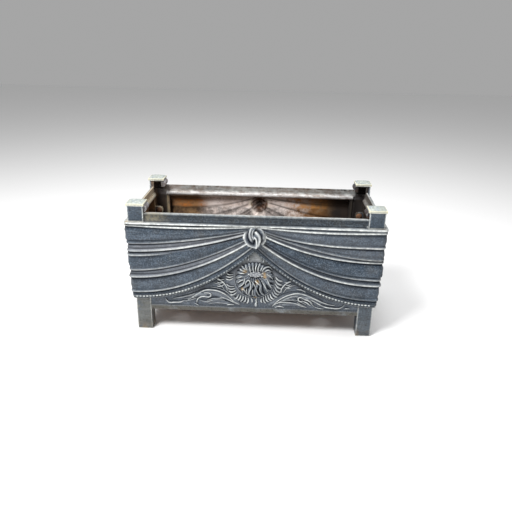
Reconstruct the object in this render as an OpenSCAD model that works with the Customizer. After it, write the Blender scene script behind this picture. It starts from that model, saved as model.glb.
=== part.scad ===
// Cast iron jardiniere: four corner posts, two long and two short draped panels,
// a drained base plate, and the bolts that hold them together.
// Millimetres. X runs along the trough, Y from front to back, Z up.
// The origin is on the ground, under the middle of the trough.

/* [Overall] */
// Length over the faces of the post heads
length = 580; // [500:5:700]
// Depth over the faces of the post heads
depth = 260; // [230:5:340]
// Height of the rim above the ground
rim_height = 300; // [285:5:360]
// Height of the plain band between the rim and the drapery
rim_band = 20; // [14:1:30]
// Height of the panels' lower edge above the ground
panel_clearance = 51; // [40:1:58]

/* [Corner posts] */
// Width of the square head of a post
head_w = 36; // [32:1:42]
// Height of the head above the rim
head_rise = 17; // [12:1:30]
// Thickness of the post castings
post_wall = 5; // [4:0.5:6]
// Width of the square leg
leg_w = 35; // [32:1:40]
// Distance of the leg's faces behind the head's faces
leg_inset = 5; // [4:0.5:7]
// Height of the part of the foot that is closed all round
foot_box = 44; // [30:1:50]
// Bulge of the cheeks' rolls over the ends of the rims
cheek_out = 7; // [4:0.5:8]
// Thickness of the head's ceiling under the cap
ceiling_t = 3; // [2:0.5:5]
// Overhang of the cap round the head
cap_over = 2.5; // [1:0.5:5]
// Thickness of the cap's edge
cap_edge = 5; // [3:0.5:7]
// Rise of the cap's crown above its edge
cap_crown = 4.5; // [1:0.5:8]
// Width of the flat on the cap's crown
crown_flat = 16; // [8:1:26]

/* [Panels] */
// Thickness of the panel castings
wall = 5; // [4:0.5:6]
// Distance of the rim face behind the post heads
rim_inset = 6; // [5.5:0.5:8]
// Distance of the plain field behind the post heads
field_inset = 8; // [7.5:0.5:10]
// Height of the bottom rail
rail_h = 15; // [10:1:20]
// Relief of the bottom rail in front of the field
rail_relief = 2.5; // [1:0.5:4]
// Thickness of the flange at each end of a panel
flange_t = 7; // [6:0.5:9]
// Height of the moulded band inside the rim
inner_band = 15; // [10:1:20]
// Radius of the round moulding below that band
moulding_r = 5.5; // [3:0.5:6]
// Relief of the drapery's top edge in front of the rim face
ledge_relief = 16; // [14:0.5:19]
// How much squarer than an arc the drapery's corners are
corner_square = 0.15; // [0:0.05:0.25]
// Sag of the folds on the short panels
end_sag = 5; // [0:0.5:10]
// Height over which the hem's hollow runs out inside
hem_web = 6; // [4:1:10]

/* [Knot and flower] */
// Radius of the knot
knot_r = 28.5; // [24:0.5:30]
// Drop of the knot's centre below the drapery's top edge
knot_drop = 27; // [24:1:32]
// Distance of the knot's centre in front of the rim face
knot_out = 3; // [0:0.5:6]
// Radius of the flower head
flower_r = 45; // [36:1:50]
// Height of the flower's centre above the panels' lower edge
flower_up = 92; // [84:1:96]
// Relief of the flower in front of the field
flower_relief = 10; // [6:0.5:12]
// Radius of the wreath round the flower
wreath_r = 64; // [58:1:68]
// Relief of the wreath in front of the field
wreath_relief = 4.5; // [2:0.5:6]
// Rise of the flower's heart above its centre
heart_rise = 14; // [0:1:16]
// Distance of the flower's centre from the middle
flower_x = 2; // [-5:0.5:5]
// Number of petals in the flower and of leaflets in the wreath
petals = 18; // [12:1:22]

/* [Base and fasteners] */
// Thickness of the base plate
plate_t = 5; // [4:0.5:8]
// Height of the ledges above the panels' lower edge
ledge_up = 10; // [8:1:16]
// Thickness of the ledges
ledge_t = 6; // [5:0.5:9]
// Depth of the ledges from the panel's inner face
ledge_d = 12; // [11:0.5:16]
// Diameter of the drain holes
drain_d = 16; // [8:1:24]
// Number of drain holes
drains = 6; // [2:2:10]
// Number of gussets under the ledge of a long panel
long_gussets = 4; // [4:1:6]
// Number of gussets under the ledge of a short panel
end_gussets = 4; // [4:1:6]
// Thickness of the gussets
gusset_t = 4; // [3:0.5:6]
// Thickness of the bolting ears
ear_t = 5; // [4:0.5:7]
// Radius of the bolting ears
ear_r = 10; // [9.5:0.5:12]
// Distance of the ears' bolts behind the post heads
ear_in = 24; // [23:0.5:26]
// Height of the lower bolts in the long panels
long_bolt_low = 126; // [118:1:134]
// Height of the upper bolts in the long panels
long_bolt_high = 212; // [200:1:216]
// Height of the lower bolts in the short panels
end_bolt_low = 100; // [96:1:102]
// Height of the upper bolts in the short panels
end_bolt_high = 238; // [236:1:246]
// Diameter of the corner bolts
corner_bolt_d = 8; // [6:1:9]
// Diameter of the base plate's bolts
base_bolt_d = 6; // [5:1:7]
// Distance of the base plate's bolts from the middle
base_bolt_x = 150; // [100:5:200]

/* [Clearances] */
// Gap between castings that meet
joint_gap = 0.2; // [0.1:0.05:0.4]
// Gap all round the base plate
plate_gap = 1; // [0.5:0.25:2]
// Radial play of a bolt in its hole
bolt_play = 0.4; // [0.2:0.1:0.6]
// Radial play of a bolt's thread in its nut
thread_play = 0.1; // [0.05:0.05:0.2]

/* [Hidden] */

// Heights above the ground: the drapery's top edge, the head, the cap's edge,
// the bottom rail, the ledge that carries the base plate, and the plate itself
ledge_z = rim_height - rim_band;
head_top = rim_height + head_rise;
cap_top = head_top + cap_edge;
rail_top = panel_clearance + rail_h;
seat_z = panel_clearance + ledge_up;
plate_z = seat_z + ledge_t;
knot_z = ledge_z - knot_drop;
flower_z = panel_clearance + flower_up;
// Distances behind the head's face: the panel's flat back, the rim's back and
// the leg's inner face
back_in = field_inset + wall;
rim_back = rim_inset + wall;
leg_in = leg_inset + leg_w;
// Height over which the head laps inside the leg
head_lap = 8;
// Height by which an ear widens to its root
ear_foot = 3;
// Centre of the drapery's round corner, and how far each panel turns round it
corner_in = field_inset + 1;
mitre = 44.3;
// Relief of the rim's two beads and of the band between them
bead = 0.7;
bead_h = 4;
bead_slope = 1;
band = -0.2;
// Height over which the bottom rail slopes out, and the step under the hem
rail_slope = 2;
hem_step = 0.5;
// Overshoot of a cut, and the reach of one that runs out of a casting
cut = 1;
far = 200;
// Divisions of the folds round a corner, along half a long panel and along a
// short one
arc_steps = 2;
half_cols = 11;
end_cols = 7;
// How much the divisions of a long panel crowd towards the knot, and the
// divisions of the hollows behind the folds
crowding = 1.25;
long_hollow_cols = 14;
end_hollow_cols = 5;
iron = "SlateGray";
rust = "Sienna";
steel = "DimGray";

// The lines of the drapery, from the top edge down. Each line leaves the knot,
// falls steeply and runs out level at the corner. In order: drop of the line
// below the top edge at the left corner, at the right corner and at the knot,
// how sharply it falls on the left and on the right, its relief in front of the
// rim face, and the height of its lip on the left and on the right.
lines = [
    [7, 9, 4, 1.3, 1.6, 15.5, 2, 2],
    [29, 45, 7, 2.6, 3, 14.5, 0, 3],
    [50.5, 74.5, 11, 1.7, 1.7, 13.5, 3.5, 2],
    [70, 81, 16, 1.75, 2.15, 13, 3, 3.5],
    [80.5, 104, 20, 1.7, 2.2, 14.5, 1, 0],
    [118.5, 125.5, 25, 1.75, 2.1, 11.5, 2.5, 2.5],
    [136, 139.5, 34, 1.9, 2.1, 13.5, 3.5, 3.5],
    [175.5, 178, 49, 2, 2.15, 11, 3.5, 3.5],
    [188, 192, 62, 2.1, 2, 9, 1.5, 1.5]
];
// Dip of the topmost line between corner and knot
top_dip = 4;
// Height of a lip's undercut at the corner and at the knot, and the share of the
// lip's own height that is lost at the knot
under_corner = 4;
under_knot = 1.6;
lip_fade = 0.35;
// Top edge of the drapery: rounding of its arris, height of its face, depth of
// the groove below it, and the groove's place at the corner and at the knot
edge_round = 1.5;
edge_h = 3;
edge_cut = 4;
edge_corner = 6.5;
edge_knot = 3.2;
// Swell of the cloth between two lines
swell = 1.5;
// Depth from which the folds of a short panel sag in full
sag_depth = 60;
// Height and relief of the hem below the last undercut
hem_drop = 1.5;
hem_relief = 4;

function mix(a, b, t) = a + (b - a) * t;
function ease(t) = t * t * (3 - 2 * t);

// A station along a panel: side 0 is the left half of a long panel, 1 its right
// half; s is 0 at the corner and 1 at the knot.
function line_drop(n, side, s) =
    mix(lines[n][side], lines[n][2], pow(s, lines[n][3 + side]))
    + (n == 0 ? top_dip * sin(180 * s) : 0);
function line_lip(n, side, s) = lines[n][6 + side] * (1 - lip_fade * s);
function under_h(s) = mix(under_corner, under_knot, s);

// Every line gives a crest and the undercut below it, and the cloth swells
// between two lines. A row is [drop below the top edge, relief].
function crest(n, side, s) = [line_drop(n, side, s), lines[n][5]];
function undercut(n, side, s) =
    [line_drop(n, side, s) + under_h(s), lines[n][5] - line_lip(n, side, s)];
function cloth(n, side, s) =
    [mix(undercut(n, side, s)[0], crest(n + 1, side, s)[0], 0.5),
     mix(undercut(n, side, s)[1], crest(n + 1, side, s)[1], 0.5) + swell * (1 - s)];
function hem(side, s) =
    [line_drop(len(lines) - 1, side, s) + under_h(s) + hem_drop, hem_relief];

function drape_rows(side, s) = concat(
    [[0, ledge_relief - edge_round], [edge_h, ledge_relief],
     [mix(edge_corner, edge_knot, s), ledge_relief - edge_cut]],
    [for (n = [0:len(lines) - 1], k = [0:2])
        if (k < 2 || n < len(lines) - 1)
            k == 0 ? crest(n, side, s) : k == 1 ? undercut(n, side, s) : cloth(n, side, s)],
    [hem(side, s)]);

// A whole column from the rim to the lower edge: [height, relief]
function column(rows) = concat(
    [[rim_height, bead], [rim_height - bead_h, bead],
     [rim_height - bead_h - bead_slope, band],
     [ledge_z + bead_h, band], [ledge_z, bead]],
    [for (r = rows) [ledge_z - r[0], r[1]]],
    [[ledge_z - rows[len(rows) - 1][0] - hem_step, rim_inset - field_inset],
     [mix(ledge_z - rows[len(rows) - 1][0], rail_top, 0.5), rim_inset - field_inset],
     [rail_top, rim_inset - field_inset],
     [rail_top - rail_slope, rim_inset - field_inset + rail_relief],
     [panel_clearance, rim_inset - field_inset + rail_relief]]);

// Stations of a panel of half length h: [x, turn round the corner, column]
function long_station(x, h) =
    let (s = 1 - min(1, abs(x) / h)) column(drape_rows(x < 0 ? 0 : 1, s));
function end_rows(t) =
    let (a = drape_rows(1, 0), b = drape_rows(0, 0))
    [for (i = [0:len(a) - 1])
        [mix(a[i][0], b[i][0], ease(t)) + end_sag * sin(180 * t) * min(1, a[i][0] / sag_depth),
         mix(a[i][1], b[i][1], t)]];

function long_stations(h) = concat(
    [for (k = [0:arc_steps - 1]) [-h, -mitre * (arc_steps - k) / arc_steps, long_station(-h, h)]],
    [for (i = [-half_cols:half_cols])
        let (x = sign(i) * h * pow(abs(i) / half_cols, crowding)) [x, 0, long_station(x, h)]],
    [for (k = [1:arc_steps]) [h, mitre * k / arc_steps, long_station(h, h)]]);
function end_stations(h) = concat(
    [for (k = [0:arc_steps - 1]) [-h, -mitre * (arc_steps - k) / arc_steps, column(end_rows(0))]],
    [for (i = [0:end_cols])
        let (t = i / end_cols) [mix(-h, h, t), 0, column(end_rows(t))]],
    [for (k = [1:arc_steps]) [h, mitre * k / arc_steps, column(end_rows(1))]]);

// A point of the panel's face. The panel stands with its post head face on y = 0
// and looks along -Y; the corner turns round the leg's edge, drawn out a little.
function face_point(x, turn, relief) =
    let (r = (relief - rim_inset + corner_in) * (1 + corner_square * pow(sin(2 * turn), 2)))
    [x + r * sin(turn), corner_in - r * cos(turn)];

// The solid panel, with a flat back
module draped_slab(stations, h) {
    cols = len(stations);
    rows = len(stations[0][2]);
    face = [for (c = [0:cols - 1], r = [0:rows - 1])
        let (st = stations[c], p = face_point(st[0], st[1], st[2][r][1]))
        [p[0], p[1], st[2][r][0]]];
    bx = h - (back_in - corner_in) * tan(mitre);
    back = [[-bx, back_in, rim_height], [bx, back_in, rim_height],
        [bx, back_in, panel_clearance], [-bx, back_in, panel_clearance]];
    b = cols * rows;
    grid = [for (c = [0:cols - 2], r = [0:rows - 2], k = [0:1])
        let (i = c * rows + r)
        k == 0 ? [i, i + rows, i + rows + 1] : [i, i + rows + 1, i + 1]];
    top = concat([for (c = [cols - 1:-1:0]) c * rows], [b, b + 1]);
    bottom = concat([for (c = [0:cols - 1]) c * rows + rows - 1], [b + 2, b + 3]);
    left = concat([for (r = [0:rows - 1]) r], [b + 3, b]);
    right = concat([for (r = [rows - 1:-1:0]) (cols - 1) * rows + r], [b + 1, b + 2]);
    polyhedron(concat(face, back),
        concat(grid, [top, bottom, left, right, [b + 3, b + 2, b + 1, b]]), convexity = 8);
}

// The hollow behind the folds, open to the back
module fold_hollow(reach, steps, kind) {
    xs = [for (i = [0:steps]) mix(-reach, reach, i / steps)];
    inner = [for (x = xs) hollow_rows(x, kind)];
    rows = len(inner[0]);
    out = back_in + 5 * cut;
    pts = concat(
        [for (c = [0:steps], r = [0:rows - 1]) [xs[c], inner[c][r][1], inner[c][r][0]]],
        [for (c = [0:steps], r = [0:1])
            [xs[c], out, inner[c][r == 0 ? 0 : rows - 1][0]]]);
    b = (steps + 1) * rows;
    grid = [for (c = [0:steps - 1], r = [0:rows - 2], k = [0:1])
        let (i = c * rows + r)
        k == 0 ? [i, i + rows, i + rows + 1] : [i, i + rows + 1, i + 1]];
    lid = [for (c = [0:steps - 1], k = [0:1])
        let (f = c * rows, g = b + 2 * c)
        k == 0 ? [f, g, g + 2] : [f, g + 2, f + rows]];
    sill = [for (c = [0:steps - 1], k = [0:1])
        let (f = c * rows + rows - 1, g = b + 2 * c + 1)
        k == 0 ? [f, g + 2, g] : [f, f + rows, g + 2]];
    rear = [for (c = [0:steps - 1], k = [0:1])
        let (g = b + 2 * c)
        k == 0 ? [g, g + 1, g + 3] : [g, g + 3, g + 2]];
    left = concat([for (r = [0:rows - 1]) r], [b + 1, b]);
    right = concat([for (r = [rows - 1:-1:0]) steps * rows + r], [b + 2 * steps, b + 2 * steps + 1]);
    polyhedron(pts, concat(grid, lid, sill, rear, [left, right]), convexity = 8);
}

// Rows of the hollow: it follows the folds one wall behind the face, keeps its
// rows apart and runs out to the flat back above the hem.
row_gap = 0.1;
function hollow_rows(x, kind) =
    let (h_long = length / 2 - corner_in, h_end = depth / 2 - corner_in,
         rows = kind == "long"
            ? drape_rows(x < 0 ? 0 : 1, 1 - min(1, abs(x) / h_long))
            : end_rows((x + h_end) / (2 * h_end)),
         n = len(rows),
         hem_d = rows[n - 3][0] - hem_web)
    concat(
        [for (r = [4:3:n - 6]) for (k = [0:1])
            let (q = rows[r + k])
            [ledge_z - min(q[0], hem_d - 2 * cut - row_gap * (n - r - k)), rim_inset - q[1] + wall]],
        [[ledge_z - hem_d, back_in + cut / 2]]);

module long_panel() {
    h = length / 2 - corner_in;
    difference() {
        union() {
            draped_slab(long_stations(h), h);
            knot();
            flower();
            sprays();
            rim_moulding(length / 2 - leg_in - joint_gap);
            panel_ledge(length / 2 - leg_in - flange_t, long_gussets);
            panel_ears(length / 2 - leg_in - joint_gap, long_bolt_low, long_bolt_high);
        }
        panel_cuts(length / 2, "long");
        knot_hollow();
        ledge_bolt_holes();
    }
}

module end_panel() {
    h = depth / 2 - corner_in;
    difference() {
        union() {
            draped_slab(end_stations(h), h);
            rim_moulding(depth / 2 - leg_in - joint_gap);
            panel_ledge(depth / 2 - leg_in - flange_t, end_gussets);
            panel_ears(depth / 2 - leg_in - joint_gap, end_bolt_low, end_bolt_high);
        }
        panel_cuts(depth / 2, "end");
    }
}

// Everything that is cut from a panel: room for the posts, the thin rim, the
// hollow folds and the bolt holes.
module panel_cuts(half, kind) {
    low_b = kind == "long" ? long_bolt_low : end_bolt_low;
    high_b = kind == "long" ? long_bolt_high : end_bolt_high;
    for (m = [0, 1]) mirror([m, 0, 0]) {
        translate([half - head_w - joint_gap, -far / 2, ledge_z]) cube(far);
        translate([half - leg_in - joint_gap, leg_inset - joint_gap, 0])
            cube([far, far, ledge_z + cut]);
        for (z = [low_b, high_b])
            translate([half - leg_in - 3 * ear_t, ear_in, z])
                rotate([0, 90, 0])
                    cylinder(d = corner_bolt_d + 2 * bolt_play, h = 4 * ear_t, $fn = 16);
    }
    translate([-half, rim_back, rim_height - inner_band])
        cube([2 * half, far, inner_band + cut]);
    fold_hollow(half - leg_in - flange_t,
        kind == "long" ? long_hollow_cols : end_hollow_cols, kind);
}

// Round moulding that stiffens the panel inside, below the thin rim
module rim_moulding(reach) {
    translate([-reach, back_in - cut, rim_height - inner_band - cut - moulding_r])
        rotate([0, 90, 0]) cylinder(r = moulding_r, h = 2 * reach, $fn = 16);
}

// Ledge inside a panel that carries the base plate
module panel_ledge(reach, gussets) {
    translate([-reach, back_in - cut, seat_z])
        cube([2 * reach, ledge_d + cut, ledge_t]);
    for (i = [-gussets / 2 + 0.5:gussets / 2 - 0.5])
        translate([i * 2 * reach / gussets - gusset_t / 2, back_in - cut, 0]) hull() {
            translate([0, 0, seat_z - cut]) cube([gusset_t, ledge_d, cut]);
            translate([0, 0, panel_clearance + cut]) cube([gusset_t, cut, cut]);
        }
}

// Bolting ears at both ends of a panel
module panel_ears(end_x, z_low, z_high) {
    for (m = [0, 1], z = [z_low, z_high]) mirror([m, 0, 0])
        translate([end_x - ear_t + joint_gap, 0, 0]) ear(z, ear_t - joint_gap);
}

module ear(z, t) {
    root = ear_r + ear_foot;
    hull() {
        translate([0, ear_in, z]) rotate([0, 90, 0]) cylinder(r = ear_r, h = t, $fn = 16);
        translate([0, back_in - 2 * cut, z - root]) cube([t, cut, 2 * root]);
    }
}

// The knot: a ball of cloth, parted by a deep groove that winds across it like
// an S. p is the angle from the front of the ball and a the one round it.
knot_wall = 3;
groove_depth = 0.2;
groove_sharp = 8;
groove_lean = 117;
groove_twist = 0.45;
function knot_radius(a, p) =
    knot_r * (1 - groove_depth * pow(cos(a - groove_lean + groove_twist * p), groove_sharp));
module knot() {
    around = 24;
    rings = 6;
    reach = 100;
    pts = concat(
        [[0, -knot_r * (1 - groove_depth), 0]],
        [for (i = [1:rings], j = [0:around - 1])
            let (p = reach * i / rings, a = 360 * j / around, r = knot_radius(a, p))
            [r * sin(p) * cos(a), -r * cos(p), r * sin(p) * sin(a)]],
        [[0, knot_r / 2, 0]]);
    last = len(pts) - 1;
    fan = [for (j = [0:around - 1]) [0, 1 + (j + 1) % around, 1 + j]];
    belt = [for (i = [0:rings - 2], j = [0:around - 1], k = [0:1])
        let (a = 1 + i * around + j, c = 1 + i * around + (j + 1) % around)
        k == 0 ? [a, c, c + around] : [a, c + around, a + around]];
    base = [for (j = [0:around - 1])
        let (o = 1 + (rings - 1) * around) [last, o + j, o + (j + 1) % around]];
    translate([0, rim_inset - knot_out, knot_z]) polyhedron(pts, concat(fan, belt, base));
}

module knot_hollow() {
    translate([0, rim_inset - knot_out, knot_z])
        sphere(r = knot_r * (1 - groove_depth) - knot_wall, $fn = 14);
}

// A petal or leaf: a gabled blade that follows a curve in the panel's face and
// narrows to both ends. p is a list of four control points [x, z]. Its shape is
// set by the width of its tips, their height, its shoulders and its belly.
blade_tip = 0.12;
blade_low = 0.35;
blade_shoulder = 0.7;
blade_belly = 0.8;
function bezier(p, t) =
    p[0] * pow(1 - t, 3) + p[1] * 3 * t * pow(1 - t, 2)
    + p[2] * 3 * t * t * (1 - t) + p[3] * t * t * t;
module blade(p, width, rise, steps = 5) {
    sink = 1.5;
    pts = [for (i = [0:steps])
        let (t = i / steps,
             c = bezier(p, t),
             d = bezier(p, min(1, t + 0.05)) - bezier(p, max(0, t - 0.05)),
             n = [-d[1], d[0]] / norm(d),
             belly = sin(180 * pow(t, blade_belly)),
             w = width / 2 * mix(blade_tip, 1, belly),
             g = rise * mix(blade_low, 1, belly),
             ws = w * blade_shoulder,
             gs = g * blade_shoulder)
        each [
            [c[0] - n[0] * w, field_inset + sink, c[1] - n[1] * w],
            [c[0] - n[0] * ws, field_inset - gs, c[1] - n[1] * ws],
            [c[0], field_inset - g, c[1]],
            [c[0] + n[0] * ws, field_inset - gs, c[1] + n[1] * ws],
            [c[0] + n[0] * w, field_inset + sink, c[1] + n[1] * w]]];
    side = [for (i = [0:steps - 1], j = [0:4], k = [0:1])
        let (a = 5 * i + j, b = 5 * i + (j + 1) % 5)
        k == 0 ? [a, b, b + 5] : [a, b + 5, a + 5]];
    polyhedron(pts, concat(side, [[4, 3, 2, 1, 0], [for (j = [0:4]) 5 * steps + j]]));
}

// Flower head in its wreath: one radial mesh whose petals curl round the heart.
// The heart sits above the middle, so the lower petals are the long ones.
module flower() {
    // A ring is [radius, centre's rise, relief on a petal, relief between petals, curl]
    rings = [
        [flower_r * 0.25, heart_rise, flower_relief * 0.9, flower_relief * 0.5, 0],
        [flower_r * 0.7, heart_rise * 0.6, flower_relief, flower_relief * 0.55, 5],
        [flower_r, 0, flower_relief * 0.55, flower_relief * 0.35, 11],
        [flower_r + 3, 0, 0.8, 0.8, 11],
        [mix(flower_r, wreath_r, 0.75), 0, wreath_relief, 1.2, 16],
        [wreath_r, 0, -1, -1, 20]
    ];
    around = 3 * petals;
    pts = concat(
        [[flower_x, field_inset - flower_relief * 0.8, flower_z + heart_rise]],
        [for (r = rings, j = [0:around - 1])
            let (a = 360 * j / around + r[4], on = j % 3 != 0)
            [flower_x + r[0] * cos(a), field_inset - (on ? r[2] : r[3]),
                flower_z + r[1] + r[0] * sin(a)]],
        [[flower_x, back_in - 1, flower_z]]);
    last = len(pts) - 1;
    fan = [for (j = [0:around - 1]) [0, 1 + (j + 1) % around, 1 + j]];
    belt = [for (i = [0:len(rings) - 2], j = [0:around - 1], k = [0:1])
        let (a = 1 + i * around + j, c = 1 + i * around + (j + 1) % around)
        k == 0 ? [a, c, c + around] : [a, c + around, a + around]];
    base = [for (j = [0:around - 1])
        let (o = 1 + (len(rings) - 1) * around) [last, o + j, o + (j + 1) % around]];
    polyhedron(pts, concat(fan, belt, base), convexity = 6);
}

// Acanthus sprays on both sides of the flower, drawn from the lower edge
module sprays() {
    for (m = [0, 1]) mirror([m, 0, 0]) translate([0, 0, panel_clearance]) {
        // Arching stem, then its hooked tip
        blade([[34, 31], [76, 80], [122, 74], [164, 42]], 9, 6.5, 6);
        blade([[150, 50], [172, 36], [206, 20], [214, 42]], 7, 5.5, 5);
        // Lower lobe and the curled leaf between
        blade([[44, 29], [78, 49], [106, 44], [138, 25]], 8, 5, 5);
        blade([[100, 50], [122, 58], [138, 46], [133, 32]], 10, 6, 5);
        // Young leaf under the beads
        blade([[66, 62], [66, 82], [76, 94], [90, 88]], 8, 5, 4);
    }
}

// Post at the front left corner. Its head faces lie on x = 0 and y = 0.
module post_shape() {
    difference() {
        union() {
            leg_shell();
            head_shell();
            cap();
            post_ears();
            mirror([1, -1, 0]) post_ears(end_bolt_low, end_bolt_high);
        }
        for (z = [long_bolt_low, long_bolt_high]) post_bolt_hole(z);
        for (z = [end_bolt_low, end_bolt_high]) mirror([1, -1, 0]) post_bolt_hole(z);
    }
}

module post_bolt_hole(z) {
    translate([leg_in - 2 * ear_t, ear_in, z]) rotate([0, 90, 0])
        cylinder(d = corner_bolt_d + 2 * bolt_play, h = 3 * ear_t, $fn = 24);
}

// The leg: a closed square tube at the foot, open to the trough above
module leg_shell() {
    bore_w = leg_w - 2 * post_wall;
    difference() {
        translate([leg_inset, leg_inset, 0]) cube([leg_w, leg_w, ledge_z - joint_gap]);
        translate([leg_inset + post_wall, leg_inset + post_wall, -cut])
            cube([bore_w, bore_w, ledge_z + 2 * cut]);
        translate([back_in, leg_inset + post_wall, foot_box]) cube([leg_w, leg_w, ledge_z]);
        translate([leg_inset + post_wall, back_in, foot_box]) cube([leg_w, leg_w, ledge_z]);
    }
}

// The head: two outer walls that lap inside the leg's and a ceiling, the cheek
// beside the long panel, and the narrow return beside the short one.
module head_shell() {
    z0 = ledge_z + joint_gap;
    rise = head_top - z0;
    room = rise - ceiling_t;
    difference() {
        translate([0, 0, z0]) cube([head_w, head_w, rise]);
        translate([post_wall, post_wall, z0 + head_lap]) cube([head_w, head_w, room - head_lap]);
        translate([leg_inset + post_wall, leg_inset + post_wall, z0 - cut])
            cube([head_w, head_w, room + cut]);
        translate([rim_back, leg_inset + post_wall, z0 - cut]) cube([head_w, head_w, room + cut]);
        translate([leg_inset + post_wall, rim_back, z0 - cut]) cube([head_w, head_w, room + cut]);
    }
    head_overlap();
    cheek();
    translate([0, head_w - post_wall, z0]) cube([rim_back, post_wall, rise]);
}

// The outer walls run on down behind the leg's top
module head_overlap() {
    difference() {
        translate([leg_inset, leg_inset, ledge_z - head_lap])
            cube([head_w - leg_inset, head_w - leg_inset, 2 * head_lap]);
        translate([leg_inset + post_wall, leg_inset + post_wall, 0]) cube(rim_height);
    }
}

// Cheek of the head beside a long panel: it meets the rim's end, and rolls out
// over it under the cap.
module cheek() {
    z0 = ledge_z + joint_gap;
    over_rim = rim_height + joint_gap;
    over_h = head_top - over_rim;
    roll_r = (over_h + cut) / 2;
    translate([head_w - post_wall, 0, z0]) cube([post_wall, rim_back, head_top - z0]);
    translate([head_w - post_wall, 0, over_rim]) cube([post_wall, head_w, over_h]);
    intersection() {
        translate([head_w + cheek_out - roll_r, rim_inset, over_rim + roll_r])
            rotate([-90, 0, 0]) cylinder(r = roll_r, h = head_w - rim_inset, $fn = 48);
        translate([head_w - post_wall, 0, over_rim]) cube([head_w, head_w, over_h + cut]);
    }
}

// Square cap with a low crown
module cap() {
    w = head_w + 2 * cap_over;
    translate([-cap_over, -cap_over, head_top]) cube([w, w, cap_edge]);
    translate([head_w / 2, head_w / 2, cap_top])
        rotate([0, 0, 45])
            cylinder(r1 = w / sqrt(2), r2 = crown_flat / sqrt(2), h = cap_crown, $fn = 4);
}

// Ears and return of the leg that the long panel's flange is bolted to
module post_ears(z_low = long_bolt_low, z_high = long_bolt_high) {
    translate([leg_in - ear_t, 0, 0]) for (z = [z_low, z_high]) post_ear(z);
}

module post_ear(z) {
    translate([0, ear_in, z]) rotate([0, 90, 0]) cylinder(r = ear_r, h = ear_t, $fn = 32);
    translate([0, leg_inset + cut, z - ear_r])
        cube([ear_t, ear_in - leg_inset - cut, 2 * ear_r]);
}

// Base plate, notched round the posts; its drain holes are spread over a share
// of its length
drain_spread = 0.7;
module plate_shape() {
    half_x = length / 2 - back_in - plate_gap;
    half_y = depth / 2 - back_in - plate_gap;
    notch_x = length / 2 - leg_in - plate_gap;
    notch_y = depth / 2 - leg_in - plate_gap;
    pairs = drains / 2;
    drain_pitch = 2 * notch_x * drain_spread / max(1, pairs - 1);
    difference() {
        translate([0, 0, plate_z]) linear_extrude(plate_t)
            polygon([for (q = [[1, 1], [-1, 1], [-1, -1], [1, -1]])
                let (turned = q[0] * q[1] < 0)
                each [
                    [q[0] * (turned ? notch_x : half_x), q[1] * (turned ? half_y : notch_y)],
                    [q[0] * notch_x, q[1] * notch_y],
                    [q[0] * (turned ? half_x : notch_x), q[1] * (turned ? notch_y : half_y)]]]);
        for (i = [0:pairs - 1], side = [-1, 1])
            translate([(i - (pairs - 1) / 2) * drain_pitch, side * half_y / 2, plate_z - cut])
                cylinder(d = drain_d, h = plate_t + 2 * cut, $fn = 32);
        base_bolt_places() translate([0, 0, -cut])
            cylinder(d = base_bolt_d + 2 * bolt_play, h = 2 * plate_z, $fn = 24);
    }
}

module base_bolt_places() {
    for (sx = [-1, 1], sy = [-1, 1])
        translate([sx * base_bolt_x, sy * (depth / 2 - back_in - ledge_d / 2 - plate_gap / 2), 0])
            children();
}

// Holes for the base plate's bolts in the ledge of a long panel
module ledge_bolt_holes() {
    for (m = [-1, 1])
        translate([m * base_bolt_x, back_in + ledge_d / 2 + plate_gap / 2, seat_z - cut])
            cylinder(d = base_bolt_d + 2 * bolt_play, h = ledge_t + 2 * cut, $fn = 16);
}

// Sizes of a fastener from its diameter: radius and height of the head, half
// width and height of the square nut, and the thread's end beyond the nut
function bolt_head_r(d) = d;
function bolt_head_h(d) = 0.55 * d;
function nut_half(d) = 0.8 * d;
function nut_h(d) = 0.8 * d;
function bolt_end(d) = d / 4;

// Cup-head bolt standing on its head's seat: the shank points down
module bolt(d, grip) {
    tip = grip + nut_h(d) + bolt_end(d);
    arc = 4;
    rotate_extrude($fn = 24) polygon(concat(
        [[0, -tip], [d / 2, -tip], [d / 2, 0], [bolt_head_r(d), 0]],
        [for (k = [1:arc])
            [bolt_head_r(d) * cos(90 * k / arc), bolt_head_h(d) * sin(90 * k / arc)]]));
}

// Square nut under the same seat, below the parts that the bolt grips
module nut(d, grip) {
    half = nut_half(d);
    difference() {
        translate([-half, -half, -grip - nut_h(d)]) cube([2 * half, 2 * half, nut_h(d)]);
        translate([0, 0, -grip - nut_h(d) - cut])
            cylinder(d = d + 2 * thread_play, h = nut_h(d) + 2 * cut, $fn = 24);
    }
}

// Every corner bolt's place: its seat is the panel's ear inside the trough, and
// its shank points into the post
module corner_bolt_places() {
    for (mx = [0, 1], my = [0, 1]) mirror([mx, 0, 0]) mirror([0, my, 0]) {
        for (z = [long_bolt_low, long_bolt_high])
            translate([-length / 2 + leg_in + ear_t, -depth / 2 + ear_in, z])
                rotate([0, 90, 0]) children();
        for (z = [end_bolt_low, end_bolt_high])
            translate([-length / 2 + ear_in, -depth / 2 + leg_in + ear_t, z])
                rotate([-90, 0, 0]) children();
    }
}

module corner_post(mx, my) {
    mirror([mx, 0, 0]) mirror([0, my, 0])
        translate([-length / 2, -depth / 2, 0]) post_shape();
}

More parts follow.
